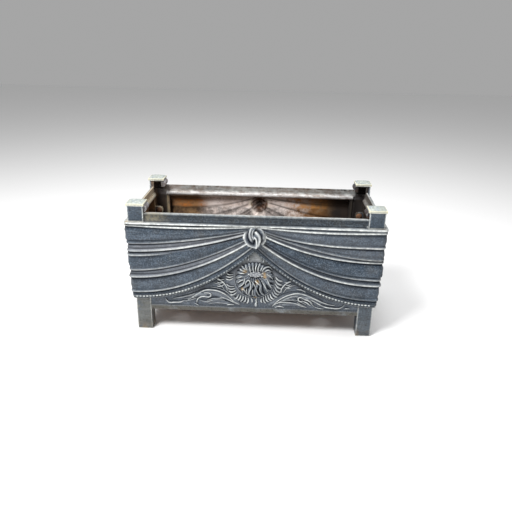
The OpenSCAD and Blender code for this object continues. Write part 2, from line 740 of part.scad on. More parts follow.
module front_panel() { color(iron) translate([0, -depth / 2, 0]) long_panel(); }
module back_panel() { rotate([0, 0, 180]) front_panel(); }
module left_end_panel() { color(iron) rotate([0, 0, -90]) translate([0, -length / 2, 0]) end_panel(); }
module right_end_panel() { rotate([0, 0, 180]) left_end_panel(); }
module front_left_post() { color(iron) corner_post(0, 0); }
module front_right_post() { color(iron) corner_post(1, 0); }
module rear_left_post() { color(iron) corner_post(0, 1); }
module rear_right_post() { color(iron) corner_post(1, 1); }
module base_plate() { color(rust) plate_shape(); }
module corner_bolts() {
    color(steel) corner_bolt_places() bolt(corner_bolt_d, 2 * ear_t);
}
module corner_nuts() {
    color(steel) corner_bolt_places() nut(corner_bolt_d, 2 * ear_t);
}
module base_bolts() {
    color(steel) base_bolt_places() translate([0, 0, plate_z + plate_t])
        bolt(base_bolt_d, plate_t + ledge_t);
}
module base_nuts() {
    color(steel) base_bolt_places() translate([0, 0, plate_z + plate_t])
        nut(base_bolt_d, plate_t + ledge_t);
}

front_panel();
back_panel();
left_end_panel();
right_end_panel();
front_left_post();
front_right_post();
rear_left_post();
rear_right_post();
base_plate();
corner_bolts();
corner_nuts();
base_bolts();
base_nuts();
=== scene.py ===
import math

import bpy
import numpy as np
from mathutils import Matrix, Vector


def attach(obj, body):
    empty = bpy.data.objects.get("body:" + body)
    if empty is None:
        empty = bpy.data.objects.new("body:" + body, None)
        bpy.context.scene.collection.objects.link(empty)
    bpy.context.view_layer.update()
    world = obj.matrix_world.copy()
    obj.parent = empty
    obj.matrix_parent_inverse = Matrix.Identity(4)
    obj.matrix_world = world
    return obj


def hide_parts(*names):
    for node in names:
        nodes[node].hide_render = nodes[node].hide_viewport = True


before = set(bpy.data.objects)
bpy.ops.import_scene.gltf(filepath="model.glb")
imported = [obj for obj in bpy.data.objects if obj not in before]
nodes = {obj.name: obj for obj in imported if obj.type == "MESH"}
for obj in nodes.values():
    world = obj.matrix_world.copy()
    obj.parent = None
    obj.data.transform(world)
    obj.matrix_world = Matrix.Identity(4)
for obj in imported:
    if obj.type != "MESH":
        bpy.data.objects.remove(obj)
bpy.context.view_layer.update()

# Corner posts. Each is one casting in iron: a square hollow foot and leg, a head with
# swept cheeks beside the rim, and a low cap. The arrises are soft from the sand mould, and
# the slate grey paint has worn down to a chalky ground on them.
mm = 0.001
arris = 0.9 * mm
arris_steps = 2
# Bends, in degrees, below which faces are one flat, above which an edge gets an arris, and
# below which the casting's surface looks smooth
flat_bend = 0.5
arris_bend = 35
smooth_bend = 38


def add_object(name, data):
    """Puts a mesh, a light or a camera into the scene."""
    made = bpy.data.objects.new(name, data)
    bpy.context.scene.collection.objects.link(made)
    return made


def pick_up(*pieces):
    """Makes the pieces the only ones that an operator acts on, and the first the active one."""
    bpy.ops.object.select_all(action="DESELECT")
    for piece in pieces:
        piece.select_set(True)
    bpy.context.view_layer.objects.active = pieces[0]


def apply_all(piece):
    """Applies the piece's modifiers in their order."""
    pick_up(piece)
    for modifier in list(piece.modifiers):
        bpy.ops.object.modifier_apply(modifier=modifier.name)


def merged_copy(node, name):
    """A copy of a casting with its loose triangles merged and its flat faces made whole."""
    piece = add_object(name, nodes[node].data.copy())
    pick_up(piece)
    bpy.ops.object.mode_set(mode="EDIT")
    bpy.ops.mesh.select_all(action="SELECT")
    bpy.ops.mesh.remove_doubles(threshold=0.01 * mm)
    bpy.ops.mesh.dissolve_limited(angle_limit=math.radians(flat_bend))
    bpy.ops.object.mode_set(mode="OBJECT")
    return piece


def soften(piece):
    """Rounds every arris of a casting as the sand mould does."""
    bevel = piece.modifiers.new("arris", "BEVEL")
    bevel.width = arris
    bevel.segments = arris_steps
    bevel.limit_method = "ANGLE"
    bevel.angle_limit = math.radians(arris_bend)
    bevel.miter_outer = "MITER_ARC"
    apply_all(piece)
    bpy.ops.object.shade_smooth_by_angle(angle=math.radians(smooth_bend))


def feed(tree, socket, value):
    """Links a socket to another, or sets it to a number or colour."""
    if isinstance(value, bpy.types.NodeSocket):
        tree.links.new(value, socket)
    else:
        socket.default_value = value


def shader_node(tree, kind, inputs=None, **settings):
    """Adds a node with its inputs fed and its settings made."""
    made = tree.nodes.new("ShaderNode" + kind)
    for name, value in settings.items():
        setattr(made, name, value)
    for name, value in (inputs or {}).items():
        feed(tree, made.inputs[name], value)
    return made


def linear(r, g, b):
    """A colour seen on the screen, 0 to 255, as the shader wants it."""
    part = [x / 255 for x in (r, g, b)]
    return (*[x / 12.92 if x <= 0.04045 else ((x + 0.055) / 1.055) ** 2.4 for x in part], 1)


def noise(tree, place, scale, detail, rough=0.5):
    """Cloudy noise around 0.5."""
    return shader_node(tree, "TexNoise", {"Vector": place, "Scale": scale, "Detail": detail,
                                          "Roughness": rough}).outputs["Fac"]


def band(tree, value, low, high, to_low=0.0, to_high=1.0):
    """Maps a value between two limits to a share, with soft ends."""
    return shader_node(tree, "MapRange", {"Value": value, "From Min": low, "From Max": high,
                                          "To Min": to_low, "To Max": to_high},
                       interpolation_type="SMOOTHSTEP").outputs["Result"]


def span(tree, value, low, high, to_low=0.0, to_high=1.0):
    """A band with its two limits in millimetres."""
    return band(tree, value, low * mm, high * mm, to_low, to_high)


def ranged(tree, share, low, high=1.0):
    """A share made to run from low to high."""
    return band(tree, share, 0.0, 1.0, low, high)


def patches(tree, place, scale, low, high, detail=5.0, rough=0.6, stretch=(1, 1, 1), shift=0.0):
    """Cloudy patches: 0 where the noise is below low and 1 above high."""
    mapped = shader_node(tree, "Mapping", {"Vector": place, "Scale": stretch,
                                           "Location": (shift, shift, shift)})
    return band(tree, noise(tree, mapped.outputs["Vector"], scale, detail, rough), low, high)


def openness(tree, distance, **settings):
    """How open a place is: 1 in the clear, less in a hollow of that many millimetres."""
    return shader_node(tree, "AmbientOcclusion", {"Distance": distance * mm}, samples=8,
                       **settings).outputs["AO"]


def calc(tree, operation, a, b=0.0):
    """One sum on two shares, kept between 0 and 1."""
    made = shader_node(tree, "Math", operation=operation, use_clamp=True)
    for socket, value in zip(made.inputs, (a, b)):
        feed(tree, socket, value)
    return made.outputs["Value"]


def times(tree, product, *shares):
    """The product of some shares."""
    for share in shares:
        product = calc(tree, "MULTIPLY", product, share)
    return product


# Where a Mix node has its sockets for colours
under_socket, over_socket, result_socket = 6, 7, 2


def coats(tree, under, *layers):
    """Lays colours over one another. A layer is its colour and one or more shares."""
    for over, *shares in layers:
        blend = shader_node(tree, "Mix", data_type="RGBA", blend_type="MIX")
        feed(tree, blend.inputs["Factor"], times(tree, *shares))
        feed(tree, blend.inputs[under_socket], under)
        feed(tree, blend.inputs[over_socket], over)
        under = blend.outputs[result_socket]
    return under


# Chalk is both the chalky ground and the painted highlight on crests and arrises, and the rubbed
# grey is both rubbed paint and painted light
slate_dark = linear(10, 14, 21)
slate_mid = linear(39, 56, 72)
slate_dusty = linear(124, 137, 150)
rubbed_grey = linear(148, 150, 156)
slate_brown = linear(92, 90, 86)
chalk_and_highlight = linear(236, 239, 236)
cap_green = linear(158, 164, 156)
cream = linear(222, 214, 182)
gilt = linear(150, 120, 66)
rail_brown = linear(66, 61, 48)
rim_tan = linear(136, 128, 106)
foot_ochre = linear(150, 124, 84)
rust_orange = linear(196, 118, 44)
rust_brown = linear(88, 60, 42)
rust_black = linear(26, 20, 17)
old_rust_gold = linear(190, 132, 66)
old_earth = linear(142, 112, 78)
old_lime = linear(246, 234, 228)
lime_wash = linear(206, 202, 204)

# What the paint follows: half the trough's length and depth over the posts, the middle of the
# posts' walls in the leg and in the head, where the outer paint ends, the drapery's top edge,
# the caps' underside and the middle of the knot
half_length = 290
half_depth = 130
leg_wall_middle = 7.5
head_wall_middle = 4.5
drape_top = 280
cap_foot = 317
knot_z = 251
# The marks on a panel's points: worn paint with painted highlight, rubbed paint with painted
# light, painted shade, old gilding, and the inside
mark_names = ("worn", "rubbed", "deep", "gilt", "inside")


def inner_walls(tree, place, paint, worn, deep, marked):
    """The colour inside the trough. Old limewash has stayed on the middle of the walls, rust
    seeps out beside it, and the paint of the rim's moulded band is limed and grimy. Painted
    shade darkens the hollows and the right end."""
    axes = shader_node(tree, "SeparateXYZ", {"Vector": place}).outputs
    along, height = axes["X"], axes["Z"]
    reach = calc(tree, "ABSOLUTE", along)
    flake = patches(tree, place, 46, 0.4, 0.6, detail=9, rough=0.75, shift=7.7)
    vein = patches(tree, place, 60, 0.52, 0.62, detail=8, rough=0.8, stretch=(0.6, 1, 1),
                   shift=4.4)
    lime = patches(tree, place, 22, 0.36, 0.56, detail=9, rough=0.74, shift=9.1)
    fleck = patches(tree, place, 120, 0.42, 0.62, detail=6, rough=0.75, stretch=(0.4, 1, 1),
                    shift=1.1)
    wavy = shader_node(tree, "Math", {0: noise(tree, place, 13, 6), 1: 30 * mm, 2: height},
                       operation="MULTIPLY_ADD").outputs["Value"]

    washed = times(tree, span(tree, along, -175, -120), span(tree, along, 165, 70),
                   ranged(tree, lime, 0.72))
    seep = times(tree, span(tree, along, -240, -215, 0.15), span(tree, along, -135, -165, 0.12),
                 span(tree, wavy, 254, 258), span(tree, wavy, 279, 274),
                 ranged(tree, flake, 0.25))
    golden = times(tree, span(tree, along, 60, 100), span(tree, along, 210, 180), flake)
    bare = coats(tree, old_earth, (rust_brown, flake, 0.5), (old_lime, washed),
                 (rust_orange, seep, 0.85), (rust_brown, vein, 0.45),
                 (old_rust_gold, golden, 0.9))
    if not marked:
        bare = coats(tree, bare, (rust_black, band(tree, lime, 0.2, 0.8, 0.25, 0.85)))

    # Behind the knot the wall is rusty, with a dark middle. The ends are darker, and painted
    # shade darkens the wall towards the right end, where the highlight on the ridges fades, and
    # in its hollows
    from_knot = shader_node(tree, "Mapping", {"Vector": place, "Scale": (1, 0, 1),
                                              "Location": (0, 0, -knot_z * mm)})
    from_knot = shader_node(tree, "VectorMath", {0: from_knot.outputs["Vector"]},
                            operation="LENGTH").outputs["Value"]
    behind = times(tree, span(tree, from_knot, 26, 21), ranged(tree, flake, 0.6))
    end_darkening = times(tree, span(tree, reach, 236, 244), span(tree, reach, 280, 274),
                      ranged(tree, flake, 0.45, 0.9))
    right_end_shade = span(tree, along, 150, 215, 0.0, 0.94)
    ridge = times(tree, worn, band(tree, right_end_shade, 0.0, 0.9, 0.4, 0.05), 1.0 if marked else 0.3)
    bare = coats(tree, bare, (rust_brown, behind),
                 (rust_black, span(tree, from_knot, 13, 6, 0.0, 0.75)), (rust_black, end_darkening),
                 (rust_black, span(tree, wavy, 257, 252), 0.6, flake), (rust_black, right_end_shade),
                 (rust_black, deep, 0.85), (cream, ridge))

    limed = calc(tree, "MAXIMUM", times(tree, span(tree, height, 288, 284), 0.42),
                 span(tree, along, -195, -225, 0.0, 0.5))
    ragged = times(tree, span(tree, height, 294, 298), flake)
    grimy = calc(tree, "MAXIMUM", span(tree, height, 286, 290, 0.0, 0.45), ragged)
    return coats(tree, paint, (slate_dark, grimy), (lime_wash, limed, ranged(tree, lime, 0.7)),
                 (rust_brown, fleck, 0.6), (bare, span(tree, reach, 246, 262, 0.1, 0.8)),
                 (bare, span(tree, height, 276, 270)))


def painted_iron(name, marked):
    """Worn slate paint on cast iron, with painted highlights, painted light and painted shade. A
    marked piece carries its own marks on its points, and the others find their arrises and
    hollows by how open they are."""
    material = bpy.data.materials.new(name)
    material.use_nodes = True
    tree = material.node_tree
    shader = tree.nodes["Principled BSDF"]
    place = shader_node(tree, "TexCoord").outputs["Object"]
    axes = shader_node(tree, "SeparateXYZ", {"Vector": place}).outputs
    along, height = axes["X"], axes["Z"]

    cloud = patches(tree, place, 26, 0.38, 0.62, detail=8, rough=0.72)
    film = patches(tree, place, 80, 0.46, 0.7, detail=8, rough=0.78)
    streak = patches(tree, place, 24, 0.46, 0.72, stretch=(1, 1, 5), detail=7, shift=3.1)
    brown = patches(tree, place, 21, 0.52, 0.72, detail=7, shift=6.3)
    speck = patches(tree, place, 330, 0.62, 0.72, detail=2)
    dark_speck = patches(tree, place, 210, 0.55, 0.68, detail=3, shift=8.8)
    grain = patches(tree, place, 130, 0.34, 0.66, detail=5, shift=1.7)
    scuff = patches(tree, place, 70, 0.36, 0.56, detail=6, rough=0.7, stretch=(0.5, 1, 1),
                    shift=2.7)
    grit = noise(tree, place, 400, 2)
    paint = coats(tree, slate_dark, (slate_mid, ranged(tree, cloud, 0.62)),
                  (slate_dusty, film, 0.3), (slate_dusty, streak, 0.26),
                  (slate_brown, brown, 0.32), (chalk_and_highlight, speck, 0.14),
                  (slate_dark, dark_speck, 0.42),
                  (slate_dark, band(tree, grit, 0.5, 0.38, 0.0, 0.5)),
                  (slate_dusty, band(tree, grit, 0.52, 0.66, 0.0, 0.3)))

    if marked:
        worn, rubbed, deep, gilded, inside = [
            shader_node(tree, "Attribute", attribute_name=mark).outputs["Fac"]
            for mark in mark_names]
        # Painted shade over the marked places and over hollows found by how open they are, and
        # pale grey over rubbed paint and painted light
        deep = calc(tree, "MAXIMUM", deep, band(tree, openness(tree, 7), 0.6, 0.15))
        paint = coats(tree, paint, (rubbed_grey, rubbed, ranged(tree, film, 0.55)),
                      (slate_dark, deep, 0.96), (gilt, gilded))
    else:
        # The posts' arrises, found by how open they are, are worn and also carry a painted
        # highlight, and their hollows get painted shade
        arrises = openness(tree, 4, inside=True, only_local=True)
        worn = times(tree, band(tree, arrises, 0.97, 0.62), span(tree, height, 50, 120, 0.6))
        deep = band(tree, openness(tree, 8), 0.8, 0.3)
        in_head = span(tree, height, drape_top - 0.2, drape_top + 0.2, 0.0,
                       (leg_wall_middle - head_wall_middle) * mm)
        inside = 1.0
        for axis, half in (("X", half_length), ("Y", half_depth)):
            reach = calc(tree, "SUBTRACT", calc(tree, "ABSOLUTE", axes[axis]), in_head)
            change = half - leg_wall_middle
            inside = times(tree, inside, span(tree, reach, change + 0.3, change - 0.3))
        inside = times(tree, inside, span(tree, height, 52, 58),
                       span(tree, height, cap_foot + 0.2, cap_foot - 0.4))
        paint = coats(tree, paint, (slate_dusty, 0.05), (slate_dark, deep, 0.96))
    # Chalk where the paint has worn, which also stands for the painted highlight
    paint = coats(tree, paint, (chalk_and_highlight, worn, ranged(tree, grain, 0.6),
                                ranged(tree, scuff, 0.72, 1.1)))

    # Soil on the bottom rail and the legs, a tan stain on the rim's left, ochre on the feet
    low = span(tree, height, 68, 62) if marked else span(tree, height, 100, 84)
    soil = times(tree, low, patches(tree, place, 34, 0.24, 0.5, shift=5.3))
    if marked:
        stain = times(tree, span(tree, along, -185, -235, 0.12), span(tree, height, 279, 283),
                      ranged(tree, grain, 0.3, 0.75))
        paint = coats(tree, paint, (rail_brown, soil, 0.85), (rust_black, low, dark_speck),
                      (rim_tan, stain))
    else:
        to_left = span(tree, along, 150, -150, 0.12, 0.5)
        paint = coats(tree, paint, (rim_tan, soil, ranged(tree, film, 0.6), to_left),
                      (slate_dark, dark_speck, 0.45))
    foot = times(tree, span(tree, height, 24, 0),
                 patches(tree, place, 60, 0.45, 0.6, shift=2.2), 0.3)
    cap_paint = coats(tree, cap_green, (slate_dusty, film),
                      (chalk_and_highlight, band(tree, grit, 0.53, 0.64, 0.0, 0.5)),
                      (slate_brown, dark_speck, 0.6), (cream, worn))
    paint = coats(tree, paint, (foot_ochre, foot),
                  (cap_paint, span(tree, height, cap_foot + 0.4, cap_foot + 1.4), 0.9))

    colour = coats(tree, paint, (inner_walls(tree, place, paint, worn, deep, marked), inside))
    rough = coats(tree, (0.5, 0.5, 0.5, 1),
                  ((0.86, 0.86, 0.86, 1), calc(tree, "MAXIMUM", inside, film)))
    fine = shader_node(tree, "Bump", {"Strength": 0.4, "Distance": 0.35 * mm,
                                      "Height": noise(tree, place, 520, 3)})
    broad = shader_node(tree, "Bump", {"Strength": 0.55, "Distance": 0.9 * mm,
                                       "Height": noise(tree, place, 90, 4),
                                       "Normal": fine.outputs["Normal"]})
    # The sheen falls away where shade is painted
    for socket, value in (("Base Color", colour), ("Roughness", rough),
                          ("Specular IOR Level", ranged(tree, deep, 0.5, 0.06)),
                          ("Normal", broad.outputs["Normal"])):
        feed(tree, shader.inputs[socket], value)
    return material


def dress(piece, material, node):
    """Gives a piece its one material and its body, and hides the node it stands for."""
    piece.data.materials.clear()
    piece.data.materials.append(material)
    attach(piece, "root")
    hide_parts(node)


post_paint = painted_iron("painted_post_iron", marked=False)
for corner in ("front_left", "front_right", "rear_left", "rear_right"):
    post = merged_copy(corner + "_post", corner + "_post_casting")
    soften(post)
    dress(post, post_paint, corner + "_post")

# Long panels, front and back. Each is one iron casting about 5 mm thick, bolted to the posts:
# a plain rim with a moulded band inside, a swagged drapery that falls from a knot to both
# corners in overlapping folds, hollow at the back, and a plain field with a bottom rail.
rim_height = 300
moulded_top = 285
field_bottom = 66
panel_bottom = 54
rim_inset = 6
field_inset = 8
wall = 5
back_in = 13
corner_in = 9
mitre = 44.3
ledge_relief = 15.85
corner_square = 0.125
head_w = 36
leg_in = 40
leg_inset = 5
flange = 7
gap = 0.2
panel_half = half_length - corner_in

# Each fold line in the order of its fall: drop at the left corner, at the right corner and
# at the knot, how sharply it falls left and right, relief, lip left and right, height of the
# rolled edge left and right that stands over the cloth above it, and how white the edge is
# with wear and painted highlight at the corner, half way and at the knot, left and right
fold_lines = [
    (7, 9, 4, 1.3, 1.6, 15.5, 2.2, 2.2, 1.6, 1.6, (0.8, 1.0, 0.7), (0.9, 1.0, 0.7)),
    (29, 45, 7, 2.6, 3.0, 14.5, 0.0, 3.2, 0.0, 1.6, (0.0, 0.0, 0.1), (0.85, 0.95, 0.1)),
    (50.5, 74.5, 11, 1.7, 1.7, 13.8, 3.6, 2.2, 1.4, 1.2, (0.1, 0.5, 0.2), (0.5, 0.2, 0.15)),
    (70, 81, 16, 1.75, 2.15, 13.8, 3.2, 3.8, 2.8, 1.6, (0.5, 0.85, 0.35), (0.7, 0.7, 1.0)),
    (80.5, 104, 20, 1.7, 2.2, 14, 1.6, 0.0, 1.0, 0.0, (0.65, 0.1, 0.1), (0.0, 0.0, 0.0)),
    (118.5, 125.5, 25, 1.75, 2.1, 11.8, 3.0, 3.0, 1.2, 1.2, (0.55, 0.15, 0.25), (0.5, 0.08, 0.0)),
    (136, 139.5, 34, 1.9, 2.1, 13.8, 4.0, 4.0, 2.8, 2.8, (0.6, 0.35, 0.75), (0.8, 0.8, 0.75)),
    (175.5, 178, 49, 2.0, 2.15, 11.2, 3.4, 3.4, 2.0, 2.0, (0.4, 0.5, 0.4), (0.1, 0.2, 0.15)),
    (188, 192, 62, 2.1, 2.0, 8.6, 1.0, 1.0, 0.3, 0.3, (0.3, 0.2, 0.1), (0.1, 0.1, 0.1)),
]
# The fifth line dies away on the left before it reaches the knot
fading_line, fade_end = 4, 0.32
# How much paler the cloth is under each line, left and right: the narrow folds are rubbed,
# and painted lighter where they face up
rubbed_folds = [(0.0, 0.2), (0.1, 0.25), (0.85, 0.5), (0.3, 0.0), (0.0, 0.0), (0.7, 0.35),
                (0.05, 0.08), (0.0, 0.0), (0.0, 0.0)]
first_dip = 4


def mix(a, b, t):
    return a + (b - a) * t


def ease(t):
    return t * t * (3 - 2 * t)


def line_drop(n, side, s):
    """Drop of fold line n; s is 0 at the corner and 1 at the knot."""
    corner, knot, fall = fold_lines[n][side], fold_lines[n][2], fold_lines[n][3 + side]
    dip = first_dip * math.sin(math.pi * s) if n == 0 else 0
    return mix(corner, knot, s ** fall) + dip


def line_share(n, side, s):
    """Share of line n that stands at one place; side may lie between left and right."""
    if n != fading_line:
        return 1.0
    return side + (1 - side) * np.clip((fade_end - s) / 0.12, 0, 1)


def gathered(s):
    """Share of a fold's relief that is left where the cloth is gathered to the knot."""
    return 1 - 0.36 * s ** 2


top_rows = 5
line_rows = 5
hem_rows = 4


def fold_points(side, s):
    """The section of the drapery at one station, as [drop, relief] from top to hem."""
    count = len(fold_lines)
    drops = [line_drop(n, side, s) for n in range(count)]
    under = mix(4.0, 1.6, s)
    notch = mix(3.8, 1.5, side * (1 - s) ** 0.5)
    rows = [(0, ledge_relief - 1.2), (0.9, ledge_relief - 0.1), (2.6, ledge_relief),
            (4.2 - 2.0 * s, ledge_relief - 0.32 * notch), (6.2 - 3.2 * s, ledge_relief - notch)]
    last = rows[-1][0]
    for n in range(count):
        relief = fold_lines[n][5]
        share = line_share(n, side, s)
        lip = fold_lines[n][6 + side] * (1 - 0.3 * s) * share
        roll = fold_lines[n][8 + side] * (1 - 0.35 * s) * share
        above = drops[n] - last
        below = drops[n + 1] - drops[n] if n + 1 < count else 20.0
        rise = min(1.5 * under, 0.34 * above)
        fall = min(under, 0.36 * below)
        rows += [(drops[n] - rise, relief - roll),
                 (drops[n] - 0.5 * rise, relief - 0.35 * roll), (drops[n], relief),
                 (drops[n] + 0.42 * fall, relief - 0.3 * lip), (drops[n] + fall, relief - lip)]
        if n + 1 < count:
            after = fold_lines[n + 1]
            full = mix(relief - lip, after[5] - after[8 + side], 0.5)
            swell = (1.7 if below > 18 else 0.8) * (1 - 0.8 * s)
            rows.append((drops[n] + 0.55 * below, full + swell))
        last = drops[n]
    hem = drops[-1] + min(under, 7.0)
    rows += [(hem + 0.8, 6.6), (hem + 1.7, 7.4), (hem + 2.6, 6.2), (hem + 3.2, 2.5)]
    return [(drop, relief * gathered(s)) for drop, relief in rows]


def smoothed(points, steps):
    """A curve through the points, with that many steps between two of them."""
    p = np.array([points[0]] + list(points) + [points[-1]], float)
    t = (np.arange(steps) / steps)[:, None]
    curve = []
    for a, b, c, d in zip(p[:-3], p[1:-2], p[2:-1], p[3:]):
        curve.append(0.5 * (2 * b + (c - a) * t + (2 * a - 5 * b + 4 * c - d) * t ** 2
                            + (3 * b - a - 3 * c + d) * t ** 3))
    return np.vstack(curve + [p[-1:]])


field_relief = rim_inset - field_inset
rim_rows = [(rim_height, -0.5), (rim_height - 0.4, 0.3), (rim_height - 1.2, 0.7),
            (rim_height - 3.6, 0.7), (rim_height - 4.6, 0.2), (rim_height - 5.4, -0.3),
            (moulded_top, -0.3), (moulded_top - 1, 0.2), (moulded_top - 4, 0.5),
            (drape_top + 0.2, 1.4)]
rail_rows = [(field_bottom + 0.8, field_relief), (field_bottom - 0.2, field_relief + 0.8),
             (field_bottom - 1.4, field_relief + 2.2), (field_bottom - 2.6, field_relief + 2.5),
             (panel_bottom + 1.4, field_relief + 2.5), (panel_bottom + 0.4, field_relief + 2.1),
             (panel_bottom, field_relief + 1.2)]
fold_steps = 2
field_rows = 9


def whole_column(points):
    """[height, relief] of a station from the rim to the lower edge."""
    folds = smoothed(points, fold_steps)
    folds[:, 0] = np.maximum.accumulate(folds[:, 0])
    folds[:, 0] = drape_top - folds[:, 0]
    foot = folds[-1, 0]
    field = [(mix(foot - 0.6, field_bottom + 1.6, k / field_rows), field_relief)
             for k in range(field_rows + 1)]
    return np.vstack([rim_rows, folds, field, rail_rows])


def solid(name, points, faces):
    """A closed mesh from points in millimetres, with its faces turned outwards."""
    mesh = bpy.data.meshes.new(name)
    mesh.from_pydata((np.array(points) * mm).tolist(), [], faces)
    made = add_object(name, mesh)
    pick_up(made)
    bpy.ops.object.mode_set(mode="EDIT")
    bpy.ops.mesh.select_all(action="SELECT")
    bpy.ops.mesh.normals_make_consistent(inside=False)
    bpy.ops.object.mode_set(mode="OBJECT")
    return made


def grid_faces(columns, rows):
    """The faces between neighbouring columns of points that run from top to bottom."""
    return [(c * rows + r, c * rows + r + 1, (c + 1) * rows + r + 1, (c + 1) * rows + r)
            for c in range(columns - 1) for r in range(rows - 1)]


def draped_slab(name, stations):
    """A solid panel with a flat back from stations of (x, turn in degrees, column)."""
    rows = len(stations[0][2])
    half = stations[-1][0]
    face = []
    for x, turn, column in stations:
        angle = math.radians(turn)
        square = 1 + corner_square * math.sin(2 * angle) ** 2
        reach = (column[:, 1] - rim_inset + corner_in) * square
        face.append(np.column_stack([x + reach * math.sin(angle),
                                     corner_in - reach * math.cos(angle), column[:, 0]]))
    end = half - (back_in - corner_in) * math.tan(math.radians(mitre))
    back = [(-end, back_in, rim_height), (end, back_in, rim_height),
            (end, back_in, panel_bottom), (-end, back_in, panel_bottom)]
    cols, b = len(stations), len(stations) * rows
    around = [[c * rows for c in range(cols)] + [b + 1, b],
              [c * rows + rows - 1 for c in range(cols - 1, -1, -1)] + [b + 3, b + 2],
              [r for r in range(rows - 1, -1, -1)] + [b, b + 3],
              [(cols - 1) * rows + r for r in range(rows)] + [b + 2, b + 1],
              [b, b + 1, b + 2, b + 3]]
    return solid(name, np.vstack(face + [back]), grid_faces(cols, rows) + around)


def shape(name, primitive, **settings):
    """Adds a primitive with nothing else selected, and applies its place."""
    bpy.ops.object.select_all(action="DESELECT")
    primitive(**settings)
    made = bpy.context.object
    made.name = name
    bpy.ops.object.transform_apply(location=True, rotation=True, scale=True)
    return made


def block(name, low, high):
    """A box between two corners in millimetres."""
    return shape(name, bpy.ops.mesh.primitive_cube_add, size=1,
                 location=[(a + b) / 2 * mm for a, b in zip(low, high)],
                 scale=[(b - a) * mm for a, b in zip(low, high)])


def round_bar(name, centre, radius, length):
    """A round bar along X, in millimetres."""
    return shape(name, bpy.ops.mesh.primitive_cylinder_add, vertices=32, radius=radius * mm,
                 depth=length * mm, location=[v * mm for v in centre],
                 rotation=(0, math.pi / 2, 0))


def carve(piece, tools, operation="DIFFERENCE"):
    """Cuts tools out of a piece, or adds them, and clears them away."""
    for tool in tools:
        cut = piece.modifiers.new("carve", "BOOLEAN")
        cut.operation = operation
        cut.object = tool
        cut.solver = "MANIFOLD"
        apply_all(piece)
        bpy.data.objects.remove(tool)


def fold_hollow(name, reach, columns, points_at):
    """The hollow behind the folds, as a solid to be cut out of the slab. It follows every
    third point of the section from the first line to the last, and leaves a web at the hem."""
    hem_web = 6
    last_line = -(line_rows + hem_rows)
    xs = np.linspace(-reach, reach, columns)
    stations = []
    for x in xs:
        points = points_at(x)[top_rows:]
        hem = points[last_line][0] - hem_web
        column = [(drape_top - min(drop, hem - 2 - 0.05 * (len(points) - k)),
                   rim_inset - relief + wall)
                  for k, (drop, relief) in enumerate(points[:last_line:3])]
        stations.append(column + [(drape_top - hem, back_in + 0.5)])
    rows = len(stations[0])
    out = back_in + 6
    points = [(x, y, z) for x, column in zip(xs, stations) for z, y in column]
    points += [(x, out, column[k][0]) for x, column in zip(xs, stations) for k in (0, -1)]
    b, last = columns * rows, columns - 1
    faces = grid_faces(columns, rows)
    faces += [(c * rows, (c + 1) * rows, b + 2 * c + 2, b + 2 * c) for c in range(last)]
    faces += [(c * rows + rows - 1, b + 2 * c + 1, b + 2 * c + 3, (c + 2) * rows - 1)
              for c in range(last)]
    faces += [(b + 2 * c, b + 2 * c + 2, b + 2 * c + 3, b + 2 * c + 1) for c in range(last)]
    faces += [list(range(rows)) + [b + 1, b],
              list(range(last * rows + rows - 1, last * rows - 1, -1))
              + [b + 2 * last, b + 2 * last + 1]]
    return solid(name, points, faces)


def panel_ends_and_rim(half):
    """Boxes that make room for the posts and thin the rim over its moulded band."""
    far, over_rim, over_post = 60, rim_height + 2, rim_height + 20
    tools = [block("rim_room", (-half, rim_inset + wall, moulded_top), (half, far, over_rim))]
    for sign in (-1, 1):
        head = sorted((sign * (half - head_w - gap), sign * (half + far)))
        leg = sorted((sign * (half - leg_in - gap), sign * (half + far)))
        tools += [block("head_room", (head[0], -far, drape_top), (head[1], far, over_post)),
                  block("leg_room", (leg[0], leg_inset - gap, 0), (leg[1], far, drape_top + 1))]
    return tools


# Fittings at a panel's back: the ledge under the base plate, its gussets, the round moulding
# under the rim, and the ears
ledge_foot, ledge_top, ledge_depth = 61, 67, 12
gussets, gusset_t = 4, 4
moulding_z, moulding_r = 278.5, 5.5
ear_t, ear_r, ear_in = 5, 10, 24
sunk = 1


def back_fittings(half, bolt_heights):
    """The fittings of one panel, each sunk a little into its back."""
    inner = half - leg_in - gap
    reach = half - leg_in - flange
    root = back_in - sunk
    parts = [block("ledge", (-reach, root, ledge_foot),
                   (reach, back_in + ledge_depth, ledge_top)),
             round_bar("moulding", (0, root, moulding_z), moulding_r, 2 * inner)]
    for k in range(gussets):
        x = (k - (gussets - 1) / 2) * 2 * reach / gussets
        gusset = block("gusset", (x - gusset_t / 2, root, panel_bottom + 1),
                       (x + gusset_t / 2, back_in + ledge_depth, ledge_foot + 0.5))
        for vertex in gusset.data.vertices:
            if vertex.co.z < (panel_bottom + 2) * mm and vertex.co.y > (back_in + 1) * mm:
                vertex.co.y = back_in * mm
        parts.append(gusset)
    for sign in (-1, 1):
        for z in bolt_heights:
            sides = sorted((sign * inner, sign * (inner - ear_t + gap)))
            parts += [round_bar("ear", (sign * (inner - ear_t / 2 + gap / 2), ear_in, z), ear_r,
                                ear_t - gap),
                      block("ear_root", (sides[0], root, z - ear_r),
                            (sides[1], ear_in, z + ear_r))]
    return parts


half_columns = 110
corner_columns = 7
hollow_columns = 61
crowding = 1.12


def station_points(x):
    """The drapery's section at x on a long panel."""
    return fold_points(0 if x < 0 else 1, 1 - min(1.0, abs(x) / panel_half))


def with_corners(stations):
    """Stations of (x, column), with the first and the last carried round the corners."""
    (x0, first), (x1, last) = stations[0], stations[-1]
    steps = range(corner_columns)
    return ([(x0, -mitre * (1 - k / corner_columns), first) for k in steps]
            + [(x, 0, column) for x, column in stations]
            + [(x1, mitre * (k + 1) / corner_columns, last) for k in steps])


def weld(piece, others):
    """Joins pieces of one casting into one object."""
    pick_up(piece, *others)
    bpy.ops.object.join()


def vertex_data(mesh, kind):
    """The places or the normals of a mesh's points, as a table."""
    values = np.empty(len(mesh.vertices) * 3, np.float32)
    mesh.vertices.foreach_get(kind, values)
    return values.reshape(-1, 3)


